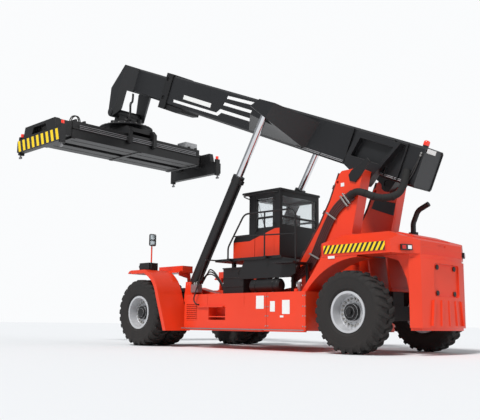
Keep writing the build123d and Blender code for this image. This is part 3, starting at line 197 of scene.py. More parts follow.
def build_weather_group() -> bpy.types.NodeTree:
    """Dust that settles low down and on upward faces, with streaks and blotches.

    Returns:
        The group: colour, roughness and a fine height.
    """
    wiring, given, wanted = new_group(
        "weathered_coat",
        {"Colour": Sockets.COLOUR, "Dust Colour": Sockets.COLOUR, "Dust": Sockets.FLOAT,
         "Roughness": Sockets.FLOAT, "Variation": Sockets.FLOAT, "Grain": Sockets.FLOAT},
        {"Colour": Sockets.COLOUR, "Roughness": Sockets.FLOAT, "Height": Sockets.FLOAT})
    splash_top, splash_bottom = 2.0, 0.1
    everywhere, middle_shade = 0.22, 0.68
    maths, place = wiring.math, wiring.place()
    height = wiring.add("ShaderNodeSeparateXYZ", {0: place}).outputs["Z"]
    normal = wiring.add("ShaderNodeNewGeometry").outputs["Normal"]
    slope = wiring.add("ShaderNodeSeparateXYZ", {0: normal}).outputs["Z"]
    broad = wiring.noise(place, 0.9, 4.0)
    streak = wiring.noise(place, 5.0, 3.0, (1.0, 1.0, 0.18))
    speck = wiring.noise(place, 42.0, 3.0)
    low_down = wiring.between(height, splash_top, splash_bottom)
    upward = wiring.between(slope, 0.55, 1.0)
    dust = maths("MULTIPLY_ADD", low_down, 0.55, maths("MULTIPLY", upward, 0.5))
    dust = maths("ADD", dust, everywhere)
    patch = maths("MULTIPLY", wiring.between(streak, 0.38, 0.72), wiring.between(speck, 0.25, 0.7))
    patch = maths("MULTIPLY_ADD", broad, 0.35, maths("MULTIPLY", patch, 0.75))
    dust = maths("MULTIPLY", maths("MULTIPLY", dust, patch), given["Dust"], clamp=True)
    mottle = maths("SUBTRACT", maths("ADD", broad, maths("MULTIPLY", speck, 0.35)), middle_shade)
    value = maths("ADD", maths("MULTIPLY", mottle, given["Variation"]), 1.0)
    shade = wiring.add("ShaderNodeHueSaturation", {"Value": value, "Color": given["Colour"]}).outputs[0]
    wiring.feed(wanted["Colour"], wiring.mix(dust, shade, given["Dust Colour"]))
    rough = maths("MULTIPLY_ADD", dust, 0.5, given["Roughness"])
    rough = maths("MULTIPLY_ADD", maths("SUBTRACT", speck, 0.5), 0.1, rough, clamp=True)
    wiring.feed(wanted["Roughness"], rough)
    wiring.feed(wanted["Height"], maths("MULTIPLY", wiring.noise(place, 260.0, 1.0), given["Grain"]))
    return wiring.tree


def build_edge_group() -> bpy.types.NodeTree:
    """Finds outer edges with a rounded normal.

    Returns:
        The group: an edge mask and the rounded normal.
    """
    wiring, given, wanted = new_group(
        "worn_edges", {"Wear": Sockets.FLOAT}, {"Mask": Sockets.FLOAT, "Normal": Sockets.VECTOR})
    rounded = wiring.add("ShaderNodeBevel", {"Radius": 0.009}, samples=4).outputs[0]
    sharp = wiring.add("ShaderNodeNewGeometry").outputs["Normal"]
    turned = wiring.math("SUBTRACT", 1.0, wiring.dot(rounded, sharp))
    broken = wiring.between(wiring.noise(wiring.place(), 30.0, 4.0), 0.45, 0.62)
    mask = wiring.math("MULTIPLY", wiring.between(turned, 0.04, 0.22), broken)
    wiring.feed(wanted["Mask"], wiring.math("MULTIPLY", mask, given["Wear"], clamp=True))
    wiring.feed(wanted["Normal"], rounded)
    return wiring.tree


# ------------------------------------------------------------------ finishes
@dataclass(frozen=True)
class Finish:
    """A painted, rubber or plastic finish with dust, variation and worn edges."""

    name: str
    colour: Point
    roughness: float = 0.4
    metallic: float = 0.0
    coat: float = 0.0
    dust: float = 0.5
    dust_colour: Point = (0.32, 0.27, 0.22)
    variation: float = 0.25
    grain: float = 0.15
    wear: float = 0.4
    worn_colour: Point = (0.25, 0.2, 0.17)
    clear: float = 0.0
    glow: float = 0.0

    def build(self, weather: bpy.types.NodeTree, edges: bpy.types.NodeTree) -> bpy.types.Material:
        """Makes the material.

        Args:
            weather: The shared dust group.
            edges: The shared edge group.

        Returns:
            The finished material.
        """
        made = bpy.data.materials.new(self.name)
        made.use_nodes = True
        wiring = Wiring(made.node_tree)
        paint = (*self.colour, 1.0)
        coat = wiring.add("ShaderNodeGroup", node_tree=weather)
        for label, value in (
            ("Colour", paint), ("Dust Colour", (*self.dust_colour, 1.0)), ("Dust", self.dust),
            ("Roughness", self.roughness), ("Variation", self.variation), ("Grain", self.grain),
        ):
            wiring.feed(coat.inputs[label], value)
        worn = wiring.add("ShaderNodeGroup", node_tree=edges)
        wiring.feed(worn.inputs["Wear"], self.wear)
        colour = self.pattern(wiring, coat.outputs["Colour"])
        bump = wiring.add("ShaderNodeBump", {
            "Strength": 0.35, "Distance": 0.004,
            "Height": coat.outputs["Height"], "Normal": worn.outputs["Normal"]})
        values = {
            "Base Color": wiring.mix(worn.outputs["Mask"], colour, (*self.worn_colour, 1.0)),
            "Roughness": coat.outputs["Roughness"], "Normal": bump.outputs[0],
            "Metallic": self.metallic, "Coat Weight": self.coat, "Coat Roughness": 0.12}
        if self.clear:
            values |= {"Transmission Weight": self.clear, "IOR": 1.2}
        if self.glow:
            values |= {"Emission Color": paint, "Emission Strength": self.glow}
        shader = made.node_tree.nodes["Principled BSDF"]
        for label, value in values.items():
            wiring.feed(shader.inputs[label], value)
        made.diffuse_color = paint
        return made

    def pattern(self, wiring: Wiring, colour: Socket) -> Socket:
        """A plain finish shows its weathered colour as it is."""
        return colour


@dataclass(frozen=True)
class StripedFinish(Finish):
    """Slanted warning stripes in two colours."""

    other: Point = (0.02, 0.02, 0.022)
    direction: Point = (0.0, 0.0, 1.0)
    pitch: float = 0.24

    def pattern(self, wiring: Wiring, colour: Socket) -> Socket:
        """Paints the second colour in slanted bands.

        Args:
            wiring: The material's wiring.
            colour: The weathered first colour.

        Returns:
            The striped colour.
        """
        along = wiring.dot(wiring.place(), self.direction)
        phase = wiring.math("FRACT", wiring.math("DIVIDE", along, self.pitch))
        return wiring.mix(wiring.math("GREATER_THAN", phase, 0.5), colour, (*self.other, 1.0))


FINISHES: tuple[Finish, ...] = (
    Finish("orange_red_coat", (0.80, 0.043, 0.009), 0.36, coat=0.2, dust=0.14, dust_colour=(0.35, 0.1, 0.05),
           variation=0.2, wear=0.2),
    Finish("boom_charcoal_coat", (0.0085, 0.009, 0.0105), 0.42, coat=0.12, dust=0.1,
           dust_colour=(0.1, 0.092, 0.088), variation=0.35),
    Finish("chassis_black_coat", (0.006, 0.006, 0.0068), 0.45, dust=0.16, dust_colour=(0.08, 0.068, 0.06),
           variation=0.4),
    Finish("tyre_rubber", (0.012, 0.0105, 0.01), 0.8, dust=0.4, dust_colour=(0.075, 0.058, 0.05),
           variation=0.5, grain=0.5, wear=0.12, worn_colour=(0.06, 0.05, 0.045)),
    Finish("rim_silver_coat", (0.62, 0.63, 0.65), 0.38, metallic=0.35, dust=0.4,
           dust_colour=(0.2, 0.15, 0.12)),
    Finish("polished_rod", (0.72, 0.73, 0.75), 0.12, metallic=1.0, dust=0.1, wear=0.0, grain=0.02),
    Finish("bare_steel", (0.33, 0.33, 0.34), 0.42, metallic=0.85, dust=0.5),
    Finish("cast_block", (0.18, 0.19, 0.2), 0.6, metallic=0.3, dust=0.7),
    Finish("cab_glass", (0.9, 0.93, 0.94), 0.02, dust=0.05, variation=0.05, wear=0.0, grain=0.0, clear=0.95),
    Finish("seat_cloth", (0.03, 0.031, 0.035), 0.85, dust=0.3, grain=0.8, wear=0.0),
    Finish("beacon_red", (0.85, 0.04, 0.02), 0.2, coat=0.5, dust=0.1, wear=0.0, glow=0.25),
    Finish("lamp_lens", (0.82, 0.84, 0.86), 0.12, coat=0.6, dust=0.15, wear=0.0),
    Finish("tail_lens", (0.6, 0.02, 0.015), 0.18, coat=0.6, dust=0.15, wear=0.0),
    Finish("hose_rubber", (0.02, 0.02, 0.021), 0.55, dust=0.35, grain=0.3, wear=0.0),
    Finish("hose_maroon", (0.07, 0.014, 0.014), 0.45, dust=0.3, grain=0.2, wear=0.0),
    Finish("cover_blue_grey", (0.02, 0.03, 0.036), 0.5, dust=0.2, variation=0.2),
    Finish("sleeve_cloth", (0.011, 0.011, 0.0105), 0.85, dust=0.2, dust_colour=(0.06, 0.06, 0.05),
           grain=0.7, wear=0.0),
    Finish("plate_white", (0.82, 0.82, 0.8), 0.45, dust=0.25, variation=0.1),
    Finish("stripe_white", (0.88, 0.88, 0.87), 0.38, dust=0.08, variation=0.08, wear=0.0),
    Finish("mirror_face", (0.75, 0.77, 0.79), 0.04, metallic=1.0, dust=0.1, wear=0.0, grain=0.0),
    Finish("zinc_bolt", (0.45, 0.44, 0.42), 0.4, metallic=0.9, dust=0.5),
    Finish("light_grey_coat", (0.42, 0.43, 0.44), 0.45, dust=0.35),
    StripedFinish("hazard_side", (0.95, 0.66, 0.01), 0.4, dust=0.1, direction=(0.87, 0.0, 0.5), pitch=0.097),
    StripedFinish("hazard_end", (0.95, 0.66, 0.01), 0.4, dust=0.1, direction=(0.96, 0.0, -0.29), pitch=0.25),
)

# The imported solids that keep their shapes. The tyres' finish goes on before the treaded tyres replace them.
NODES_OF_FINISH = {
    "orange_red_coat": """main_frame counterweight engine_hood engine_tray hood_lid front_fenders rear_fenders
        cab_side_panels door_panel side_tanks""",
    "chassis_black_coat": """drive_axle steer_axle exhaust_stack cab_platform battery_box air_tank
        filter_canister cab_shell cab_door steering_column handrails lamps boom_pins boom_collar
        lift_cylinder_barrels head_carrier rotator_frame spreader_main telescopic_end_left
        telescopic_end_right steering_knuckle_left steering_knuckle_right""",
    "boom_charcoal_coat": "outer_boom inner_boom boom_head",
    "rim_silver_coat": "rear_rim_left rear_rim_right front_rims_left front_rims_right",
    "tyre_rubber": "rear_tyre_left rear_tyre_right front_tyres_left front_tyres_right",
    "bare_steel": "twistlocks_left twistlocks_right",
    "beacon_red": "beacons_left beacons_right",
    "cab_glass": "cab_glass door_glass",
    "cast_block": "engine_block",
    "seat_cloth": "operator_seat",
    "hose_maroon": "tower_pipes",
    "polished_rod": "lift_cylinder_rods",
}


class Paints:
    """Builds every finish once and puts the materials on pieces."""

    def __init__(self) -> None:
        """Builds the shared groups and all materials."""
        weather, edges = build_weather_group(), build_edge_group()
        self.made = {finish.name: finish.build(weather, edges) for finish in FINISHES}

    def put(self, piece: Piece, name: str) -> None:
        """Gives a piece one finish."""
        piece.data.materials.clear()
        piece.data.materials.append(self.made[name])

    def dress(self, nodes: dict[str, Piece]) -> None:
        """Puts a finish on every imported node.

        Args:
            nodes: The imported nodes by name.
        """
        finish_of = {node: finish for finish, names in NODES_OF_FINISH.items() for node in names.split()}
        for name, piece in nodes.items():
            made = self.made[finish_of[name]]
            if piece.data.materials:
                piece.data.materials[0] = made
            else:
                piece.data.materials.append(made)
        log.info("%d packed nodes dressed", len(nodes))


# ------------------------------------------------------------------ modelling by hand tools
@dataclass(frozen=True)
class Bridge:
    """Two bodies that a hose runs between, and where its bend starts and ends; the hose rides neither body
    and does not bend with them.
    """

    first: str
    second: str
    start: Vector
    end: Vector


def open_mesh(elements: str = "FACE", action: str = "SELECT") -> None:
    """Enters edit mode with everything selected, or nothing.

    Args:
        elements: What is selected: VERT, EDGE or FACE.
        action: SELECT or DESELECT.
    """
    bpy.ops.object.mode_set(mode="EDIT")
    bpy.ops.mesh.select_mode(type=elements)
    bpy.ops.mesh.select_all(action=action)


def close_mesh() -> None:
    """Goes back to object mode."""
    bpy.ops.object.mode_set(mode="OBJECT")


def add_object(name: str, data: bpy.types.ID) -> Piece:
    """Puts data into the scene as a new object.

    Args:
        name: The object's name.
        data: A mesh, a curve, a camera or a light.

    Returns:
        The object.
    """
    made = bpy.data.objects.new(name, data)
    bpy.context.scene.collection.objects.link(made)
    return made


class Bench:
    """Models pieces with the usual edit tools and hands them over as finished objects."""

    LOOKS_UP = 0.9  # least z of a top face's normal
    BEVEL_SHARE = 0.3  # widest bevel, as a share of a block's thinnest side
    WELD = 0.0001  # points closer than this are one
    CURVE_STEPS = 6  # steps of a hose between two control points

    def __init__(self, paints: Paints) -> None:
        """Keeps the finishes, and starts the count of pieces."""
        self.paints = paints
        self.count = 0

    @staticmethod
    def pick(*pieces: Piece) -> None:
        """Selects only these objects, and makes the first one active.

        Args:
            *pieces: The objects, or none at all.
        """
        if bpy.context.object and bpy.context.object.mode != "OBJECT":
            close_mesh()
        bpy.ops.object.select_all(action="DESELECT")
        for piece in pieces:
            piece.select_set(True)
        if pieces:
            bpy.context.view_layer.objects.active = pieces[0]

    def settle(self, piece: Piece) -> Piece:
        """Puts an object's place into its mesh.

        Args:
            piece: The object.

        Returns:
            The same object, at the origin.
        """
        self.pick(piece)
        bpy.ops.object.transform_apply(location=True, rotation=True, scale=True)
        return piece

    def modify(self, piece: Piece, kind: str, **settings: object) -> None:
        """Adds a modifier and applies it.

        Args:
            piece: The object.
            kind: The modifier's type.
            **settings: The modifier's properties.
        """
        self.pick(piece)
        made = piece.modifiers.new(kind.lower(), kind)
        for key, value in settings.items():
            setattr(made, key, value)
        bpy.ops.object.modifier_apply(modifier=made.name)

    def bevel(self, piece: Piece, width: float, segments: int = 2, angle: float = 35.0) -> None:
        """Bevels the edges of a piece that are sharper than an angle in degrees."""
        limit = {"limit_method": "ANGLE", "angle_limit": math.radians(angle)}
        self.modify(piece, "BEVEL", width=width, segments=segments, **limit)

    def smooth(self, piece: Piece, angle: float = 40.0) -> Piece:
        """Shades a piece smooth, apart from sharp edges.

        Args:
            piece: The object.
            angle: Edges sharper than this stay sharp, in degrees.

        Returns:
            The same object.
        """
        self.pick(piece)
        bpy.ops.object.shade_smooth_by_angle(angle=math.radians(angle))
        return piece

    def cube(self, size: Sequence[float]) -> Piece:
        """A plain cuboid round the origin.

        Args:
            size: Full lengths along its axes.

        Returns:
            The object.
        """
        self.pick()
        bpy.ops.mesh.primitive_cube_add(size=1.0, location=(0, 0, 0))
        made = bpy.context.object
        made.scale = size
        return self.settle(made)

    def block(self, centre: Sequence[float], size: Sequence[float], edge: float = 0.004,
              turn: Sequence[float] = (0, 0, 0), inset: float = 0.0, lift: float = 0.0) -> Piece:
        """A bevelled block, with a raised or sunk panel on its top face if wanted.

        Args:
            centre: Middle of the block.
            size: Full lengths along its axes.
            edge: Bevel width.
            turn: Euler turn in degrees.
            inset: How far the top panel is inset.
            lift: How far the inset panel is raised, or sunk when negative.

        Returns:
            The object.
        """
        made = self.cube(size)
        if inset:
            open_mesh(action="DESELECT")
            close_mesh()
            for face in made.data.polygons:
                face.select = face.normal.z > self.LOOKS_UP
            bpy.ops.object.mode_set(mode="EDIT")
            bpy.ops.mesh.inset(thickness=inset)
            bpy.ops.transform.translate(value=(0, 0, lift))
            close_mesh()
        self.bevel(made, min(edge, min(size) * self.BEVEL_SHARE))
        made.rotation_euler = [math.radians(value) for value in turn]
        made.location = centre
        return self.settle(made)

    def disc(self, centre: Sequence[float], axis: Sequence[float], rings: Sequence[Pair],
             sides: int = 24, edge: float = 0.0) -> Piece:
        """A turned piece: a circle that is extruded and scaled ring by ring.

        Args:
            centre: Start of the axis.
            axis: Direction of the axis.
            rings: Pairs of distance along the axis and radius.
            sides: Number of sides, 6 for a bolt or a nut.
            edge: Bevel width, or 0 for none.

        Returns:
            The object.
        """
        self.pick()
        height, last = rings[0]
        bpy.ops.mesh.primitive_circle_add(
            vertices=sides, radius=last, fill_type="NGON", location=(0, 0, height))
        made = self.settle(bpy.context.object)
        open_mesh()
        for step, wide in rings[1:]:
            bpy.ops.mesh.extrude_region_move(TRANSFORM_OT_translate={"value": (0, 0, step - height)})
            ratio = wide / last
            bpy.ops.transform.resize(value=(ratio, ratio, 1.0), center_override=(0, 0, step))
            height, last = step, wide
        bpy.ops.mesh.select_all(action="SELECT")
        bpy.ops.mesh.normals_make_consistent(inside=False)
        close_mesh()
        if edge:
            self.bevel(made, edge)
        made.rotation_mode = "QUATERNION"
        made.rotation_quaternion = Vector(axis).to_track_quat("Z", "Y")
        made.location = centre
        return self.smooth(self.settle(made))

    def lathe(self, profile: Sequence[Pair], centre: Sequence[float], sides: int = 48) -> Piece:
        """Spins a closed profile round an axis along Y.

        Args:
            profile: Pairs of y and radius, going round the closed section.
            centre: The middle of the wheel.
            sides: Steps of the spin.

        Returns:
            The object.
        """
        mesh = bpy.data.meshes.new("profile")
        count = len(profile)
        mesh.from_pydata([(0, y, r) for y, r in profile], [(i, (i + 1) % count) for i in range(count)], [])
        made = add_object("profile", mesh)
        self.pick(made)
        open_mesh("EDGE")
        bpy.ops.mesh.spin(steps=sides, angle=math.tau, center=(0, 0, 0), axis=(0, 1, 0), dupli=False)
        bpy.ops.mesh.select_all(action="SELECT")
        bpy.ops.mesh.remove_doubles(threshold=self.WELD)
        bpy.ops.mesh.normals_make_consistent(inside=False)
        close_mesh()
        made.location = centre
        return self.smooth(self.settle(made), 30)

    def tube(self, points: Sequence[Point], radius: float, cap: bool = True, sides: int = 4) -> Piece:
        """A smooth round hose or bar through control points.

        Args:
            points: The control points of the curve.
            radius: The tube's radius.
            cap: Whether the ends are closed.
            sides: Bevel resolution of the tube.

        Returns:
            The object, as a mesh.
        """
        curve = bpy.data.curves.new("run", "CURVE")
        curve.dimensions = "3D"
        spline = curve.splines.new("NURBS")
        spline.points.add(len(points) - 1)
        for place, point in zip(spline.points, points):
            place.co = (*point, 1.0)
        spline.order_u = 3
        spline.use_endpoint_u = True
        spline.resolution_u = self.CURVE_STEPS
        curve.bevel_depth = radius
        curve.bevel_resolution = sides
        curve.use_fill_caps = cap
        self.pick(add_object("run", curve))
        bpy.ops.object.convert(target="MESH")
        return self.smooth(bpy.context.object, 50)

    def panel(self, outline: Iterable[Point], thickness: float, side: int = 1, edge: float = 0.0) -> Piece:
        """A flat sheet from its outline, given a thickness behind its face.

        Args:
            outline: Corner points in order, counterclockwise as seen from where the face looks.
            thickness: Sheet thickness in metres.
            side: 1, or -1 for the same outline on the right side, which looks the other way.
            edge: Bevel width of the rim, or 0 for none.

        Returns:
            The object.
        """
        corners = [tuple(point) for point in outline][::side]
        mesh = bpy.data.meshes.new("sheet")
        mesh.from_pydata(corners, [], [tuple(range(len(corners)))])
        made = add_object("sheet", mesh)
        self.modify(made, "SOLIDIFY", thickness=thickness, offset=-1.0)
        if edge:
            self.bevel(made, edge, 1)
        return made

    def copies(self, master: Piece, places: Iterable[Matrix]) -> list[Piece]:
        """Moves a modelled piece to many places.

        Args:
            master: The piece that repeats, modelled at the origin.
            places: Where each copy goes.

        Returns:
            The copies.
        """
        made = []
        for place in places:
            data = master.data.copy()
            data.transform(place)
            if place.determinant() < 0:
                data.flip_normals()
            made.append(add_object(master.name, data))
        bpy.data.objects.remove(master)
        return made

    def join(self, parts: Sequence[Piece]) -> Piece:
        """Joins objects into the first.

        Args:
            parts: The objects.

        Returns:
            The joined object.
        """
        self.pick(*parts)
        if len(parts) > 1:
            bpy.ops.object.join()
        return bpy.context.object

    def finish(self, parts: list | Piece, name: str, finish: str, body: str | Bridge = "chassis") -> Piece:
        """Joins, names and dresses a piece, and rides it on its body unless the body is a Bridge.

        Args:
            parts: The object, or the objects that it is joined from.
            name: Its name.
            finish: The finish's name.
            body: The body that it rides on, or a Bridge of two bodies, which leaves it unparented in the
                frame.

        Returns:
            The piece.
        """
        piece = self.join(parts) if isinstance(parts, list) else parts
        piece.name = name
        piece.data.name = name
        self.paints.put(piece, finish)
        if isinstance(body, Bridge):
            tuple(body.start)
            tuple(body.end)
            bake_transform(piece)
        else:
            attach(piece, body)
        self.count += 1
        log.info("%s: %d faces on %s", name, len(piece.data.polygons), body)
        return piece


# ------------------------------------------------------------------ where things are
AHEAD, LEFT, UP = (1, 0, 0), (0, 1, 0), (0, 0, 1)
MIRROR = Matrix.Scale(-1.0, 4, LEFT)
SIDES: tuple[tuple[str, int], ...] = (("left", 1), ("right", -1))
BOTH = (1, -1)


def middle(node: str) -> Vector:
    """The middle of a node's box."""
    low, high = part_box(node)
    return (Vector(low) + Vector(high)) / 2


def on_side(place: Sequence[float], side: int) -> Matrix:
    """A place on the left side, or one with the piece mirrored on the right."""
    return Matrix.Translation(place) @ (Matrix.Identity(4) if side > 0 else MIRROR)


@dataclass(frozen=True)
class Plan:
    """Turns places measured from the front axle, or along the boom, into frame places."""

    axle_x: float
    pivot: Vector
    slope: float = 23.4

    @classmethod
    def read(cls, frame: dict) -> Plan:
        """Takes the axle and the boom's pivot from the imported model."""
        pivot = next(joint["pos_m"] for joint in frame["joints"] if joint["name"] == "boom_lower")
        return cls(middle("front_tyres_left").x, Vector(pivot))

    def at(self, x: float, y: float, z: float) -> Vector:
        """A place on the chassis, with x from the front axle."""
        return Vector((self.axle_x + x, y, z))

    def run(self, *places: Point) -> list[Vector]:
        """Places on the chassis, with x from the front axle."""
        return [self.at(*place) for place in places]

    def on_boom(self, along: float, up: float, y: float) -> Vector:
        """A place on the boom.

        Args:
            along: Distance from the pivot along the boom.
            up: Distance square to the boom.
            y: Distance to the left.

        Returns:
            The place in the frame.
        """
        lean = math.radians(self.slope)
        x = along * math.cos(lean) - up * math.sin(lean)
        return self.pivot + Vector((x, y, along * math.sin(lean) + up * math.cos(lean)))


@dataclass
class Trim:
    """What every sub-assembly has: the bench that models it and the plan of its places."""

    bench: Bench
    plan: Plan


# ------------------------------------------------------------------ tyres and wheels
@dataclass
class WideTyre:
    """An earthmover tyre: a ribbed carcass with deep crossing lugs."""

    bench: Bench
    radius: float = 0.8075
    half_width: float = 0.25
    seat_radius: float = 0.385
    seat_half: float = 0.19
    lug_depth: float = 0.038
    lugs: int = 26

    def carcass(self, centre: Sequence[float]) -> Piece:
        """Spins the carcass with its bead and side ribs.

        Args:
            centre: The middle of the tyre.

        Returns:
            The carcass.
        """
        crown = self.radius - self.lug_depth
        side = [
            # y, radius
            (self.seat_half, self.seat_radius), (self.seat_half, self.seat_radius + 0.022),
            (self.seat_half + 0.02, self.seat_radius + 0.034), (0.232, 0.452), (0.2385, 0.468),
            (0.2365, 0.479), (0.2435, 0.512), (0.2472, 0.53), (0.2455, 0.541), (0.2495, 0.588),
            (0.2497, 0.622), (0.2455, 0.66), (0.2482, 0.668), (0.2462, 0.692), (0.231, 0.72),
            (0.205, crown - 0.012), (0.15, crown - 0.002), (0.0, crown)]
        profile = [(-y, r) for y, r in side] + list(reversed(side[:-1]))
        return self.bench.lathe(profile, centre, 72)

    def lug(self) -> Piece:
        """Models one lug: a slanted bar that widens and drops over the shoulder.

        Returns:
            One lug at the top of a wheel whose middle is the origin.
        """
        length, width, sunk = self.half_width * 0.98, 0.082, 0.02
        lean, shoulder_start, shoulder_drop = 0.085, 0.95, 0.115
        made = self.bench.cube((width, length, self.lug_depth + 0.03))
        for share in (0.0, 0.5, 0.8):
            open_mesh()
            bpy.ops.mesh.bisect(plane_co=(0, (share - 0.5) * length, 0), plane_no=(0, 1, 0))
            close_mesh()
        for point in made.data.vertices:
            share = min(1.0, max(0.0, point.co.y / length + 0.5))
            high, shoulder = point.co.z > 0, share > shoulder_start
            taper = (0.82 + 0.42 * share) * (0.86 if high else 1.12)
            point.co.x = point.co.x * taper + lean * share ** 1.5
            point.co.y = 0.003 + share * (self.half_width - 0.006)
            top = self.radius - 0.0008 - 0.014 * share ** 3 - (0.05 if shoulder else 0.0)
            bottom = self.radius - self.lug_depth - sunk - (shoulder_drop if shoulder else 0.0)
            point.co.z = top if high else bottom
            if shoulder and high:
                point.co.y -= 0.006
        self.bench.bevel(made, 0.006, 1, 30)
        return made

    def tread(self, centre: Sequence[float]) -> list[Piece]:
        """Copies the lug round both halves of the tread.

        Args:
            centre: The middle of the tyre.

        Returns:
            All lugs.
        """
        places = []
        for index in range(self.lugs):
            for turn, half in ((index, Matrix.Identity(4)), (index + 0.5, MIRROR)):
                spin = Matrix.Rotation(turn * math.tau / self.lugs, 4, "Y")
                places.append(Matrix.Translation(centre) @ spin @ half)
        return self.bench.copies(self.lug(), places)

    def build(self, centres: Sequence[Sequence[float]]) -> Piece:
        """Builds the tyres of one node.

        Args:
            centres: The middle of each tyre.

        Returns:
            All carcasses and lugs as one object.
        """
        parts = []
        for centre in centres:
            parts += [self.carcass(centre), *self.tread(centre)]
        return self.bench.smooth(self.bench.join(parts), 32)


@dataclass
class RunningGear(Trim):
    """All tyres, and the nuts and hub covers of the rims."""

    tyre_width: float = 0.5
    nut_circle: float = 0.262
    nuts: int = 20

    def centres(self, node: str) -> list[Vector]:
        """The middles of the tyres in a node.

        Args:
            node: The tyre node.

        Returns:
            One or two points.
        """
        mid = middle(node)
        reach = (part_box(node)[1][1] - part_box(node)[0][1] - self.tyre_width) / 2
        spots = [mid.y - reach] if reach < 0.05 else [mid.y - reach, mid.y + reach]
        return [Vector((mid.x, y, mid.z)) for y in spots]

    def build(self) -> None:
        """Replaces the plain tyres and adds the rims' fittings."""
        tyre = WideTyre(self.bench)
        for node, body in (
            ("front_tyres_left", "front_wheels_left"), ("front_tyres_right", "front_wheels_right"),
            ("rear_tyre_left", "rear_wheel_left"), ("rear_tyre_right", "rear_wheel_right"),
        ):
            centres = self.centres(node)
            made = self.bench.finish(tyre.build(centres), node + "_treaded", "tyre_rubber", body)
            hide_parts(node)
            self.fittings(node, body, max(centres, key=lambda point: abs(point.y)))

    def fittings(self, node: str, body: str, outer: Vector) -> None:
        """A ring of nuts and a cover on the outer disc.

        Args:
            node: The tyre node, for the name.
            body: The wheel body.
            outer: The middle of the outermost tyre.
        """
        bench, side = self.bench, 1 if outer.y > 0 else -1
        hub = outer + Vector((0, side * 0.014, 0))
        rings = [(0, 0.026), (0.012, 0.026), (0.014, 0.021), (0.034, 0.021), (0.037, 0.017)]
        nut = bench.disc((0, 0, 0), LEFT, rings, 6)
        places = []
        for index in range(self.nuts):
            angle = math.tau * (index + 0.5) / self.nuts
            away = Vector((math.cos(angle), 0, math.sin(angle))) * self.nut_circle
            places.append(on_side(hub + away, side))
        bench.finish(bench.copies(nut, places), node + "_nuts", "zinc_bolt", body)
        rings = [(0, 0.168), (0.085, 0.168), (0.092, 0.161), (0.092, 0.108), (0.115, 0.108), (0.124, 0.1),
                 (0.124, 0.02)]
        cover = bench.disc(hub, (0, side, 0), rings, 36)
        bench.finish(bench.smooth(cover, 30), node + "_hub_cover", "chassis_black_coat", body)


# ------------------------------------------------------------------ boom
@dataclass
class BoomTrim(Trim):
    """White bands, blank plates, pipes and clamps on the boom."""

    side_y: float = 0.3525
    bands: tuple[tuple[Pair, ...], ...] = (
        # along, up
        ((5.13, 0.85), (3.97, 0.88), (3.97, 0.80), (5.15, 0.77)),
        ((5.19, 0.66), (4.10, 0.665), (4.11, 0.59), (5.21, 0.58)),
        ((7.35, 0.32), (5.40, 0.34), (5.28, 0.46), (4.06, 0.46), (4.05, 0.385), (5.20, 0.375), (5.31, 0.27),
         (7.33, 0.245)),
    )

    def sheet(self, points: Iterable[Pair], side: int, thickness: float) -> Piece:
        """A thin sheet on the boom's side, from pairs of along and up."""
        corners = [self.plan.on_boom(along, up, side * self.side_y) for along, up in points]
        return self.bench.panel(corners, thickness, side)

    def markings(self) -> None:
        """The white bands on both sides."""
        parts = [self.sheet(band, side, 0.0018) for side in BOTH for band in self.bands]
        self.bench.finish(parts, "boom_white_bands", "stripe_white", "boom")

    def blank_plates(self) -> None:
        """Blank white name plates: one on the left side and one on the boom's rear end."""
        thickness = 0.002
        left = self.sheet(((6.94, 0.53), (5.70, 0.53), (5.70, 0.41), (6.94, 0.41)), 1, thickness)
        ring = ((0.29, 0.955), (-0.05, 0.955), (-0.05, 0.86), (0.29, 0.86))
        rear = self.bench.panel([self.plan.on_boom(-1.1025, up, y) for y, up in ring], thickness)
        self.bench.finish([left, rear], "boom_blank_plates", "plate_white", "boom")

    def pipes(self) -> None:
        """Two steel pipes low on each side of the boom, with clamps."""
        bench, place = self.bench, self.plan.on_boom
        runs, clamps = [], []
        for side in BOTH:
            for up in (0.165, 0.195):
                ends = [place(along, up, side * 0.366) for along in (-0.9, 1.2, 2.3)]
                runs.append(bench.tube(ends, 0.011))
            for along in (-0.6, 0.1, 0.8, 1.5, 2.1):
                spot = place(along, 0.18, side * 0.364)
                clamps.append(bench.block(spot, (0.03, 0.026, 0.075), 0.003, (0, -self.plan.slope, 0)))
        bench.finish(runs, "boom_side_pipes", "bare_steel", "boom")
        bench.finish(clamps, "boom_pipe_clamps", "chassis_black_coat", "boom")

    def build(self) -> None:
        """Builds all boom trim."""
        self.markings()
        self.blank_plates()
        self.pipes()


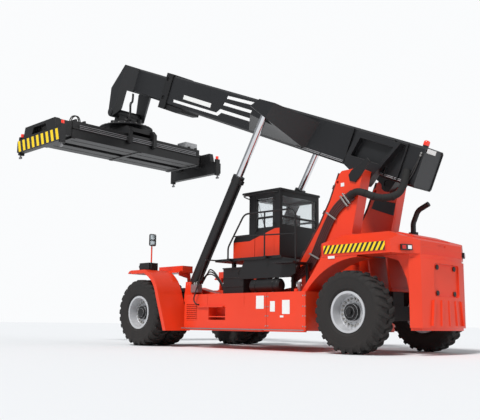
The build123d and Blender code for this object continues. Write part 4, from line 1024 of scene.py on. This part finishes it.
# ------------------------------------------------------------------ hoses
@dataclass
class HoseRuns(Trim):
    """The tower's hoses, the sleeve over to the boom, and the loops at the head and the cylinder."""

    def tower_hoses(self) -> None:
        """Five maroon hoses that climb the left tower's outer face side by side."""
        pitch = 0.047
        route = ((-4.10, 1.60), (-4.32, 1.70), (-4.52, 1.84), (-4.64, 2.01), (-4.86, 2.43), (-5.10, 2.84),
                 (-5.27, 3.02), (-5.48, 3.15), (-5.66, 3.24))
        runs = []
        for lane in range(-2, 3):
            points = []
            for index, (x, z) in enumerate(route):
                before, after = route[max(index - 1, 0)], route[min(index + 1, len(route) - 1)]
                ahead = Vector((after[0] - before[0], 0, after[1] - before[1])).normalized()
                points.append(self.plan.at(x, 0.877, z) + Vector((ahead.z, 0, -ahead.x)) * pitch * lane)
            runs.append(self.bench.tube(points, 0.0225, True, 3))
        self.bench.finish(runs, "tower_hoses", "hose_maroon")

    def tower_clamps(self) -> None:
        """Silver clamp bars across the hoses on the left tower."""
        bench, half_bar = self.bench, 0.136
        bars, bolts = [], []
        for x, z, lean in ((-4.64, 2.01, -27), (-5.10, 2.84, -35), (-5.44, 3.12, -52), (-5.50, 3.17, -52)):
            spot, turn = self.plan.at(x, 0.909, z), (0, lean, 0)
            bars.append(bench.block(spot, (0.30, 0.016, 0.034), 0.004, turn))
            away = Matrix.Rotation(math.radians(lean), 3, "Y") @ Vector((half_bar, 0, 0))
            for end in (spot + away, spot - away):
                bars.append(bench.block(end - Vector((0, 0.03, 0)), (0.028, 0.058, 0.03), 0.003, turn))
                bolts.append(bench.disc(end + Vector((0, 0.007, 0)), LEFT, [(0, 0.013), (0.011, 0.013)], 6))
        bench.finish(bars, "tower_hose_clamps", "zinc_bolt")
        bench.finish(bolts, "tower_hose_clamp_bolts", "bare_steel")

    def tower_cover(self) -> None:
        """The blue-grey cover plate on the right tower's inner face."""
        ring = ((-5.25, 3.38), (-5.78, 3.22), (-5.72, 2.95), (-5.15, 3.17))
        ring = [self.plan.at(x, -0.535, z) for x, z in ring]
        self.bench.finish(self.bench.panel(ring, 0.014, edge=0.003), "tower_cover_plate", "cover_blue_grey")

    def sleeve(self) -> None:
        """The black fabric sleeve round the left hoses, hanging from the tower over to the boom's rear."""
        bench, on_boom = self.bench, self.plan.on_boom
        points = self.plan.run(
            (-5.60, 0.90, 3.21), (-5.72, 0.935, 3.265), (-5.85, 0.95, 3.275), (-6.0, 0.93, 3.22),
            (-6.16, 0.88, 3.14), (-6.32, 0.78, 3.10), (-6.46, 0.64, 3.13), (-6.57, 0.50, 3.23))
        points += [on_boom(-0.92, 0.26, 0.43), on_boom(-0.86, 0.42, 0.385)]
        parts = [bench.tube(points, 0.075, True, 6)]
        for tie in (3, 4, 5, 6):
            ahead = (points[tie + 1] - points[tie - 1]).normalized()
            parts.append(bench.disc(points[tie] - ahead * 0.02, ahead, [(0, 0.0785), (0.04, 0.0785)]))
        made = bench.smooth(bench.join(parts), 50)
        bend = Bridge("chassis", "boom", points[2], points[-2])
        bench.finish(made, "boom_hose_sleeve", "sleeve_cloth", bend)

    def rear_lines(self) -> None:
        """Two thin lines with fittings that leave the sleeve and climb the boom's rear edge."""
        bench, on_boom = self.bench, self.plan.on_boom
        runs, nuts = [], []
        for lane in (0.0, 0.05):
            points = [
                on_boom(-0.88 - lane, 0.14, 0.376), on_boom(-0.95 - lane, 0.3, 0.376),
                on_boom(-1.02 - lane / 2, 0.62, 0.376), on_boom(-1.04, 0.78 + lane, 0.36)]
            runs.append(bench.tube(points, 0.012))
            end = points[-1] - Vector((0, 0.012, 0))
            nuts.append(bench.disc(end, LEFT, [(0, 0.024), (0.03, 0.024)], 6))
        bench.finish(runs, "boom_rear_lines", "hose_rubber", "boom")
        bench.finish(nuts, "boom_rear_fittings", "zinc_bolt", "boom")

    def head_loops(self) -> None:
        """Hoses that drop from the boom's head and loop into the carrier's rear face."""
        head = middle("head_carrier")
        for number, y, bow, radius in ((1, 0.40, 0.12, 0.019), (2, 0.34, 0.08, 0.016)):
            top = self.plan.on_boom(9.58, 0.1, y * 0.6)
            loop = (
                (-0.64 - bow * 0.5, y, 0.36), (-0.67 - bow, y * 1.1, 0.02),
                (-0.66 - bow * 0.6, y * 1.1, -0.18), (-0.60, y * 1.05, -0.2), (-0.49, y, -0.1))
            points = [top, top - Vector((0, 0, 0.28))]
            points += [Vector((head.x + x, across, head.z + z)) for x, across, z in loop]
            bend = Bridge("inner_boom", "head_carrier", points[1], points[-3])
            self.bench.finish(self.bench.tube(points, radius), f"head_hose_{number}", "hose_rubber", bend)

    def cylinder_lines(self) -> None:
        """Hose loops from the chassis to the foot of the left lift cylinder."""
        loops = []
        for lane in (0.0, 0.06, 0.12):
            points = self.plan.run(
                (-1.75 - lane, 0.80 + lane / 2, 1.36), (-1.62, 0.86 + lane / 2, 1.62 + lane),
                (-1.42, 0.93 + lane / 3, 1.78 + lane), (-1.22 - lane, 0.98, 1.70 + lane / 2),
                (-1.12 - lane, 1.02, 1.58))
            loops.append(self.bench.tube(points, 0.016, True, 3))
        self.bench.finish(loops, "lift_foot_hoses", "hose_rubber")

    def build(self) -> None:
        """Builds all hoses."""
        self.tower_hoses()
        self.tower_clamps()
        self.tower_cover()
        self.sleeve()
        self.rear_lines()
        self.head_loops()
        self.cylinder_lines()


# ------------------------------------------------------------------ body
@dataclass
class BodyTrim(Trim):
    """Warning stripes, blank labels, seam bolts, fillers, vents, rails and valve fittings on the chassis."""

    tank_wall_y: float = 1.6203
    label_places: tuple[tuple[float, Pair, Pair], ...] = (
        # the wall's y, lower rear corner, upper front corner
        (tank_wall_y, (-3.84, 0.88), (-3.61, 1.16)), (tank_wall_y, (-4.16, 0.82), (-4.02, 1.04)),
        (tank_wall_y, (-4.57, 0.77), (-4.36, 1.06)), (tank_wall_y, (-4.40, 0.70), (-4.30, 0.74)),
        (0.8503, (-5.42, 3.45), (-5.33, 3.53)), (1.4003, (-5.57, 1.875), (-5.40, 1.93)),
        (0.7153, (-3.44, 2.02), (-3.33, 2.1)))

    def side_sheet(self, side: int, y: float, low: Pair, high: Pair) -> Piece:
        """A thin upright sheet on the left or the right.

        Args:
            side: 1 for left, -1 for right.
            y: Distance of its back from the middle.
            low: Its lower rear corner, as x from the front axle and z.
            high: Its upper front corner.

        Returns:
            The sheet.
        """
        thickness = 0.0015
        ring = (high, (low[0], high[1]), low, (high[0], low[1]))
        points = [self.plan.at(x, side * (y + thickness), z) for x, z in ring]
        return self.bench.panel(points, thickness, side)

    def hazards(self) -> None:
        """The striped bands along both sides of the hood."""
        parts = [self.side_sheet(side, 1.4124, (-6.765, 1.975), (-5.295, 2.145)) for side in BOTH]
        self.bench.finish(parts, "hood_hazard_bands", "hazard_side")

    def labels(self) -> None:
        """Blank labels on the left tank, tower, arch and cab corner."""
        parts = [self.side_sheet(1, *place) for place in self.label_places]
        self.bench.finish(parts, "blank_white_labels", "plate_white")

    def tank_walls(self) -> None:
        """Rows of bolts beside the seams of the outer tank walls, and the fillers on top."""
        bench, at = self.bench, self.plan.at
        rings = [(0, 0.017), (0.003, 0.017), (0.003, 0.0125), (0.012, 0.0125), (0.0135, 0.0105)]
        bolt = bench.disc((0, 0, 0), LEFT, rings, 6)
        places = [
            on_side(at(seam + step, side * self.tank_wall_y, z), side)
            for side in BOTH for seam in (-3.925, -4.955) for z in (0.52, 0.73, 0.925, 1.14)
            for step in (-0.032, 0.032)]
        bench.finish(bench.copies(bolt, places), "tank_seam_bolts", "zinc_bolt")
        rings = [(0, 0.045), (0.16, 0.045), (0.16, 0.056), (0.21, 0.056), (0.215, 0.05)]
        fillers = [bench.disc(at(-4.60, side * 1.35, 1.2305), UP, rings, 20, 0.004) for side in BOTH]
        bench.finish(fillers, "tank_fillers", "bare_steel")

    def tail_fittings(self) -> None:
        """The rims of the lift sockets in the counterweight."""
        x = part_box("counterweight")[0][0] + 0.075
        rims = [
            self.bench.disc((x, y, z), (-1, 0, 0), [(0, 0.05), (0.012, 0.05), (0.012, 0.034)])
            for y in (-0.33, 0.33) for z in (1.19, 1.69)]
        self.bench.finish(rims, "tail_socket_rims", "chassis_black_coat")

    def vents(self) -> None:
        """Rows of slats in the vents ahead of the steps."""
        size = (0.36, 0.012, 0.018)
        slats = [
            self.bench.block(self.plan.at(-1.50, side * 1.6225, z), size, 0.002, (side * 24, 0, 0))
            for side in BOTH for z in (0.64 + 0.046 * index for index in range(9))]
        self.bench.finish(slats, "tank_vent_slats", "orange_red_coat")

    def valve_block(self) -> None:
        """The valve block with its fittings on the left tank, beside the lift cylinder's foot."""
        bench = self.bench
        spot = self.plan.at(-1.28, 1.28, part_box("side_tanks")[1][2] + 0.1)
        bench.finish(bench.block(spot, (0.24, 0.16, 0.2), 0.01), "lift_valve_block", "bare_steel")
        rings = [(0, 0.026), (0.03, 0.026), (0.03, 0.018), (0.06, 0.018)]
        nuts = [bench.disc(spot + Vector((step, 0, 0.1)), UP, rings, 6) for step in (-0.07, 0.0, 0.07)]
        bench.finish(nuts, "lift_valve_fittings", "zinc_bolt")

    def bottom_rails(self) -> None:
        """The steel rail along each tank's bottom edge."""
        low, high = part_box("side_tanks")
        rear, front = -4.98, -1.2
        size, y, z = (front - rear, 0.012, 0.022), high[1] + 0.002, low[2] + 0.045
        x = (rear + front) / 2
        rails = [self.bench.block(self.plan.at(x, side * y, z), size, 0.003) for side in BOTH]
        self.bench.finish(rails, "tank_bottom_rails", "bare_steel")

    def build(self) -> None:
        """Builds all body trim."""
        self.hazards()
        self.labels()
        self.tank_walls()
        self.tail_fittings()
        self.vents()
        self.valve_block()
        self.bottom_rails()


# ------------------------------------------------------------------ lamps
@dataclass
class LampTrim(Trim):
    """Lenses of all lamps, and the mirrors' glass and stays."""

    corner_turn: float = 65.0
    mirror_y: float = 1.9

    def head_lamps(self) -> None:
        """Round lenses on the fender lamps, with rims."""
        spots = [self.plan.at(0.15, side * y, 1.945) for side in BOTH for y in (1.75, 1.89)]
        for name, finish, rings in (
            ("head_lamp_lenses", "lamp_lens", [(0, 0.05), (0.006, 0.048), (0.014, 0.034), (0.018, 0.012)]),
            ("head_lamp_rims", "bare_steel", [(0, 0.061), (0.012, 0.061), (0.012, 0.051), (0.004, 0.05)]),
        ):
            self.bench.finish([self.bench.disc(spot, AHEAD, rings, 28) for spot in spots], name, finish)

    def tail_lamps(self) -> None:
        """A red and a white lens in each rear corner lamp."""
        turn = math.radians(self.corner_turn)
        size, proud = (0.082, 0.012, 0.07), 0.026
        for name, finish, step in (
            ("tail_lamp_red_lenses", "tail_lens", 0.062), ("tail_lamp_white_lenses", "lamp_lens", -0.062),
        ):
            lenses = []
            for side in BOTH:
                out = Vector((-math.sin(turn), side * math.cos(turn), 0))
                along = Vector((math.cos(turn), side * math.sin(turn), 0))
                spot = self.plan.at(-7.043, side * 1.1107, 2.03) + out * proud + along * step
                lenses.append(self.bench.block(spot, size, 0.004, (0, 0, side * self.corner_turn), 0.01))
            self.bench.finish(lenses, name, finish)

    def boom_beacon(self) -> None:
        """The red dome of the beacon on the boom's rear end."""
        up = self.plan.on_boom(0, 1, 0) - self.plan.on_boom(0, 0, 0)
        rings = [(0, 0.0655), (0.07, 0.0655), (0.09, 0.058), (0.104, 0.038), (0.108, 0.012)]
        dome = self.bench.disc(self.plan.on_boom(-0.85, 1.012, 0), up, rings, 28)
        self.bench.finish(dome, "boom_beacon_dome", "beacon_red", "boom")

    def mirrors(self) -> None:
        """Glass faces and stays of the two fender mirrors."""
        bench, plan = self.bench, self.plan
        faces, stays = [], []
        for y in (self.mirror_y, -self.mirror_y):
            faces.append(bench.block(plan.at(-0.3165, y, 2.59), (0.003, 0.17, 0.26), 0.001))
            stays.append(bench.tube(plan.run((-0.274, y, 2.53), (-0.262, y, 2.6), (-0.286, y, 2.66)), 0.01))
            stays.append(bench.disc(plan.at(-0.274, y, 2.035), UP, [(0, 0.0185), (0.4, 0.0185)], 16))
        bench.finish(faces, "mirror_glass", "mirror_face")
        bench.finish(stays, "mirror_stays", "orange_red_coat")

    def build(self) -> None:
        """Builds all lenses and the mirrors."""
        self.head_lamps()
        self.tail_lamps()
        self.boom_beacon()
        self.mirrors()


# ------------------------------------------------------------------ cab
@dataclass
class CabTrim(Trim):
    """The padded seat, controls, wiper, guard bars, roof lamps and door handle of the cab."""

    def cushion(self, centre: Point, size: Point, crown: float, level: float, turn: float = 0) -> list[Piece]:
        """A crowned cushion with two sewn channels, whose sides pull in, and the piping round it.

        Args:
            centre: Its middle.
            size: Length, width and thickness.
            crown: How far the middle swells.
            level: Height of the piping above its middle.
            turn: Turn about Y in degrees.

        Returns:
            The cushion and its piping.
        """
        deepest, channel_half, pull_in = 0.012, 0.05, 0.014
        made = self.bench.cube(size)
        open_mesh()
        bpy.ops.mesh.subdivide(number_cuts=15)
        close_mesh()
        half = Vector(size) / 2
        for point in made.data.vertices:
            a, b, c = (point.co[axis] / half[axis] for axis in range(3))
            swell = (1 - a ** 4) * (1 - b ** 4)
            channel = deepest * (math.exp(-((abs(b) - 0.5) / channel_half) ** 2) if c > 0.5 else 0.0)
            point.co.z += (crown * swell if c > 0 else 0.004 * swell * c) - channel
            pull = pull_in * (1 - c ** 2)
            point.co.x -= math.copysign(pull * (1 - b ** 2), a) if abs(a) > 0.98 else 0.0
            point.co.y -= math.copysign(pull * (1 - a ** 2), b) if abs(b) > 0.98 else 0.0
            round_off = max(0.0, abs(a) + abs(b) + abs(c) - 2.35) * 0.03
            point.co -= Vector([math.copysign(round_off, value) for value in (a, b, c)])
        self.bench.bevel(made, 0.022, 4, 40)
        place = Matrix.Translation(centre) @ Matrix.Rotation(math.radians(turn), 4, "Y")
        made.data.transform(place)
        ring = (
            (1, 0), (1, 0.92), (0.92, 1), (0, 1), (-0.92, 1), (-1, 0.92), (-1, 0), (-1, -0.92), (-0.92, -1),
            (0, -1), (0.92, -1), (1, -0.92), (1, 0))
        points = [place @ Vector((a * (half.x - 0.008), b * (half.y - 0.008), level)) for a, b in ring]
        return [self.bench.smooth(made, 60), self.bench.tube(points, 0.005, False, 2)]

    def seat(self) -> None:
        """Two padded cushions on a frame with bellows and arm rests, in place of the plain solid."""
        bench, block = self.bench, self.bench.block
        low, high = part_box("operator_seat")
        rear, base = low[0], low[2]
        x = (rear + high[0]) / 2 + 0.03
        length = high[0] - rear - 0.09
        lean = math.degrees(math.atan2(0.106, 0.67))
        pads = self.cushion((x, 0.0, base + 0.335), (length, 0.5, 0.12), 0.016, 0.03)
        pads += self.cushion((rear + 0.1, 0.0, base + 0.72), (0.66, 0.46, 0.1), 0.014, 0.025, 90 - lean)
        whole = bench.finish(pads, "seat_cushions", "seat_cloth")
        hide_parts("operator_seat")
        frame = [
            block((x - 0.02, 0, base + 0.13), (0.24, 0.34, 0.26), 0.012),
            block((x, 0, base + 0.262), (length - 0.04, 0.46, 0.02), 0.006),
            block((rear + 0.05, 0, base + 0.70), (0.024, 0.40, 0.60), 0.008, (0, -lean, 0))]
        for fold in range(5):
            frame.append(block((x - 0.02, 0, base + 0.05 + 0.045 * fold), (0.27, 0.37, 0.022), 0.009))
        for side in BOTH:
            frame += [
                block((x - 0.02, side * 0.285, base + 0.585), (0.36, 0.05, 0.045), 0.014),
                block((rear + 0.135, side * 0.285, base + 0.43), (0.05, 0.045, 0.27), 0.01),
                block((rear + 0.135, side * 0.25, base + 0.335), (0.05, 0.09, 0.05), 0.01)]
        bench.finish(frame, "seat_frame", "chassis_black_coat")

    def controls(self) -> None:
        """The joystick, the dash with its screen, and two pedals."""
        bench, plan = self.bench, self.plan
        stick = [(0, 0.04), (0.02, 0.036), (0.03, 0.014), (0.13, 0.012), (0.135, 0.024), (0.19, 0.026),
                 (0.21, 0.014)]
        parts = [
            bench.disc(plan.at(-2.86, -0.285, 2.71), (0.15, 0, 1), stick, 16),
            bench.block(plan.at(-2.40, 0, 2.54), (0.16, 1.16, 0.07), 0.015, (0, 12, 0)),
            bench.block(plan.at(-2.42, -0.46, 2.75), (0.03, 0.24, 0.17), 0.008, (0, 10, 30), 0.012, -0.003),
            bench.tube(plan.run((-2.40, -0.46, 2.55), (-2.40, -0.46, 2.62), (-2.41, -0.46, 2.69)), 0.012)]
        for y in (-0.16, 0.17):
            parts.append(bench.block(plan.at(-2.36, y, 2.175), (0.16, 0.075, 0.014), 0.004, (0, 42, 0)))
        bench.finish(parts, "cab_controls", "chassis_black_coat")

    def outside(self) -> None:
        """The guard bars at the roof's edge, the wiper and the roof lamps."""
        bench, plan = self.bench, self.plan
        side_bar = plan.run((-2.30, 0.70, 3.61), (-2.34, 0.76, 3.6), (-2.50, 0.80, 3.6), (-2.85, 0.815, 3.6),
                            (-3.20, 0.80, 3.6), (-3.42, 0.72, 3.6))
        front_bar = plan.run((-2.30, -0.70, 3.61), (-2.27, -0.60, 3.58), (-2.25, 0.0, 3.56),
                             (-2.27, 0.60, 3.58), (-2.30, 0.70, 3.61))
        bars = [bench.tube(points, 0.014) for points in (side_bar, front_bar)]
        bench.finish(bars, "cab_guard_bars", "chassis_black_coat")
        wiper = [
            bench.disc(plan.at(-2.499, 0.0, 2.70), AHEAD, [(0, 0.03), (0.025, 0.028)], 16, 0.003),
            bench.tube(plan.run((-2.48, 0, 2.70), (-2.476, 0.14, 2.95), (-2.478, 0.27, 3.2)), 0.008),
            bench.tube(plan.run((-2.484, 0.16, 2.9), (-2.484, 0.27, 3.18), (-2.484, 0.38, 3.46)), 0.007)]
        bench.finish(wiper, "cab_wiper", "chassis_black_coat")
        lamps, lenses = [], []
        for y in (-0.5, 0.5):
            spot = plan.at(-2.285, y, 3.69)
            lamps.append(bench.block(spot, (0.07, 0.16, 0.08), 0.012))
            lamps.append(bench.block(spot - Vector((0.02, 0, 0.045)), (0.03, 0.06, 0.03), 0.003))
            lenses.append(bench.block(spot + Vector((0.036, 0, 0)), (0.006, 0.135, 0.068), 0.002))
        bench.finish(lamps, "cab_roof_lamps", "chassis_black_coat")
        bench.finish(lenses, "cab_roof_lamp_lenses", "lamp_lens")

    def door_hardware(self) -> None:
        """The door's latch plate and its handle bar."""
        bar = self.plan.run((-2.78, 0.72, 2.72), (-2.78, 0.75, 2.76), (-2.78, 0.75, 3.0), (-2.78, 0.72, 3.04))
        plate = self.bench.block(self.plan.at(-2.735, 0.716, 2.60), (0.05, 0.012, 0.16), 0.003)
        parts = [plate, self.bench.tube(bar, 0.011)]
        self.bench.finish(parts, "door_handle", "chassis_black_coat", "cab_door")

    def build(self) -> None:
        """Builds everything on and in the cab."""
        self.seat()
        self.controls()
        self.outside()
        self.door_hardware()


# ------------------------------------------------------------------ spreader
@dataclass
class SpreaderTrim(Trim):
    """Warning panels, the rotator's cover and bolts, and the spreader's valve box, hoses and pipes."""

    slewing_bolts: int = 28
    bolt_circle: float = 0.79

    def warning_panels(self) -> None:
        """The striped panel on each end of the spreader."""
        thickness, margin, height = 0.0002, 0.008, 0.33
        for name, side in SIDES:
            low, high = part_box("telescopic_end_" + name)
            y = (high[1] if side > 0 else low[1]) + side * thickness
            front, rear, bottom = high[0] - margin, low[0] + margin, low[2] + 0.075
            ring = ((front, bottom + height), (rear, bottom + height), (rear, bottom), (front, bottom))
            sheet = self.bench.panel([(x, y, z) for x, z in ring], thickness, side)
            self.bench.finish(sheet, "spreader_warning_panel_" + name, "hazard_end", "end_" + name)

    def slewing(self) -> None:
        """The flared cover over the rotator and its ring of bolts."""
        bench, floor = self.bench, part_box("head_carrier")[0][2]
        centre = middle("head_carrier")
        centre.z = floor
        rings = [(0, 0.84), (0.03, 0.84), (0.14, 0.56), (0.15, 0.56)]
        cover = bench.disc(centre + Vector((0, 0, 0.012)), UP, rings, 48)
        bench.finish(bench.smooth(cover, 25), "rotator_cover", "boom_charcoal_coat", "head_carrier")
        rings = [(0, 0.02), (0.004, 0.02), (0.004, 0.015), (0.018, 0.015), (0.02, 0.012)]
        bolt = bench.disc((0, 0, 0), UP, rings, 6)
        places = []
        for index in range(self.slewing_bolts):
            angle = math.tau * index / self.slewing_bolts
            away = Vector((math.cos(angle), math.sin(angle), 0)) * self.bolt_circle
            places.append(Matrix.Translation(centre + away + Vector((0, 0, 0.055))))
        bench.finish(bench.copies(bolt, places), "slewing_bolts", "zinc_bolt", "head_carrier")

    def top_gear(self) -> None:
        """A valve box, brackets with hose loops, and side pipes on the main beams."""
        bench = self.bench
        rear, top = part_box("spreader_main")[0][0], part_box("spreader_main")[1][2]
        box = bench.block((rear + 0.33, -2.12, top + 0.105), (0.42, 0.5, 0.21), 0.012, (0, 0, 0), 0.03, 0.006)
        bench.finish(box, "spreader_valve_box", "light_grey_coat", "spreader")
        size = (0.3, 0.06, 0.06)
        dark = [bench.block((rear + 0.2, y, top + 0.03), size, 0.006) for y in (-2.28, -1.99, 1.99, 2.28)]
        loop = (
            (0.25, 0.0, 0.0), (0.25, 0.02, 0.16), (0.27, 0.12, 0.24), (0.27, 0.28, 0.15), (0.27, 0.3, 0.0))
        for y in (-2.36, -2.31, 2.02, 2.07):
            points = [(rear + ahead, y + across, top + up) for ahead, across, up in loop]
            dark.append(bench.tube(points, 0.017))
        bench.finish(dark, "spreader_hose_loops", "hose_rubber", "spreader")
        pipes = []
        for lane in range(3):
            z = top - 0.12 - 0.05 * lane
            pipes.append(bench.tube([(rear - 0.014, y, z) for y in (-2.2, 0.0, 2.2)], 0.011))
        bench.finish(pipes, "spreader_side_pipes", "bare_steel", "spreader")

    def build(self) -> None:
        """Builds all spreader trim."""
        self.warning_panels()
        self.slewing()
        self.top_gear()


# ------------------------------------------------------------------ studio
@dataclass
class Studio:
    """Floor, soft light and the camera low behind the left rear wheel."""

    plan: Plan
    eye: Point = (-14.2937, 12.8127, 0.5618)
    azimuth: float = -44.96
    tilt: float = 9.079
    roll: float = 0.683
    lens: float = 53.33
    floor_size: float = 600.0
    floor_drop: float = 0.0005
    floor_colour: Point = (0.83, 0.84, 0.85)

    def camera(self) -> None:
        """Places the camera."""
        data = bpy.data.cameras.new("camera")
        data.lens = self.lens
        data.sensor_width = 36.0
        data.clip_end = 400.0
        made = add_object("camera", data)
        azimuth, tilt, roll = (math.radians(value) for value in (self.azimuth, self.tilt, self.roll))
        flat = math.cos(tilt)
        ahead = Vector((flat * math.cos(azimuth), flat * math.sin(azimuth), math.sin(tilt)))
        level = ahead.cross(Vector(UP)).normalized()
        right = math.cos(roll) * level + math.sin(roll) * level.cross(ahead)
        turn = Matrix((right, right.cross(ahead), -ahead)).transposed().to_4x4()
        made.matrix_world = Matrix.Translation(self.plan.at(*self.eye)) @ turn
        bpy.context.scene.camera = made

    def floor(self) -> None:
        """A plain pale floor that keeps the machine's shadow."""
        bpy.ops.mesh.primitive_plane_add(size=self.floor_size, location=(0, 0, -self.floor_drop))
        plane = bpy.context.object
        plane.name = "studio_floor"
        made = bpy.data.materials.new("studio_floor")
        made.use_nodes = True
        shader = made.node_tree.nodes["Principled BSDF"]
        shader.inputs["Base Color"].default_value = (*self.floor_colour, 1.0)
        shader.inputs["Roughness"].default_value = 0.9
        plane.data.materials.append(made)

    def light(self) -> None:
        """A soft sky with a broad sun behind the camera's left shoulder."""
        world = bpy.data.worlds.new("soft_sky")
        bpy.context.scene.world = world
        world.use_nodes = True
        wiring = Wiring(world.node_tree)
        lighting = world.node_tree.nodes["Background"]
        wiring.feed(lighting.inputs["Color"], (0.93, 0.96, 1.0, 1.0))
        wiring.feed(lighting.inputs["Strength"], 0.36)
        shown = wiring.add("ShaderNodeBackground", {"Color": (0.96, 0.97, 0.98, 1.0), "Strength": 1.0})
        rays = wiring.add("ShaderNodeLightPath").outputs
        seen = wiring.math("MAXIMUM", rays["Is Camera Ray"], rays["Is Transmission Ray"])
        both = wiring.add("ShaderNodeMixShader", {0: seen, 1: lighting.outputs[0], 2: shown.outputs[0]})
        wiring.feed(world.node_tree.nodes["World Output"].inputs[0], both.outputs[0])
        for name, aim, strength, spread in (
            ("key_sun", (0.15, -0.75, -0.95), 2.8, 12.0), ("fill_sun", (0.9, 0.35, -0.5), 0.6, 40.0),
        ):
            data = bpy.data.lights.new(name, "SUN")
            data.energy = strength
            data.angle = math.radians(spread)
            lamp = add_object(name, data)
            lamp.rotation_mode = "QUATERNION"
            lamp.rotation_quaternion = Vector(aim).to_track_quat("-Z", "Y")

    def build(self) -> None:
        """Builds the whole studio."""
        bpy.context.scene.view_settings.view_transform = "Standard"
        self.camera()
        self.floor()
        self.light()


def main() -> None:
    """Loads the frame and builds every sub-assembly in order."""
    logging.basicConfig(level=logging.INFO, format="%(name)s: %(message)s")
    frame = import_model()
    plan = Plan.read(frame)
    Studio(plan).build()
    paints = Paints()
    paints.dress(frame["nodes"])
    bench = Bench(paints)
    for trim in (RunningGear, BoomTrim, HoseRuns, BodyTrim, LampTrim, CabTrim, SpreaderTrim):
        trim(bench, plan).build()
    log.info("%d pieces added", bench.count)


if __name__ == "__main__":
    main()
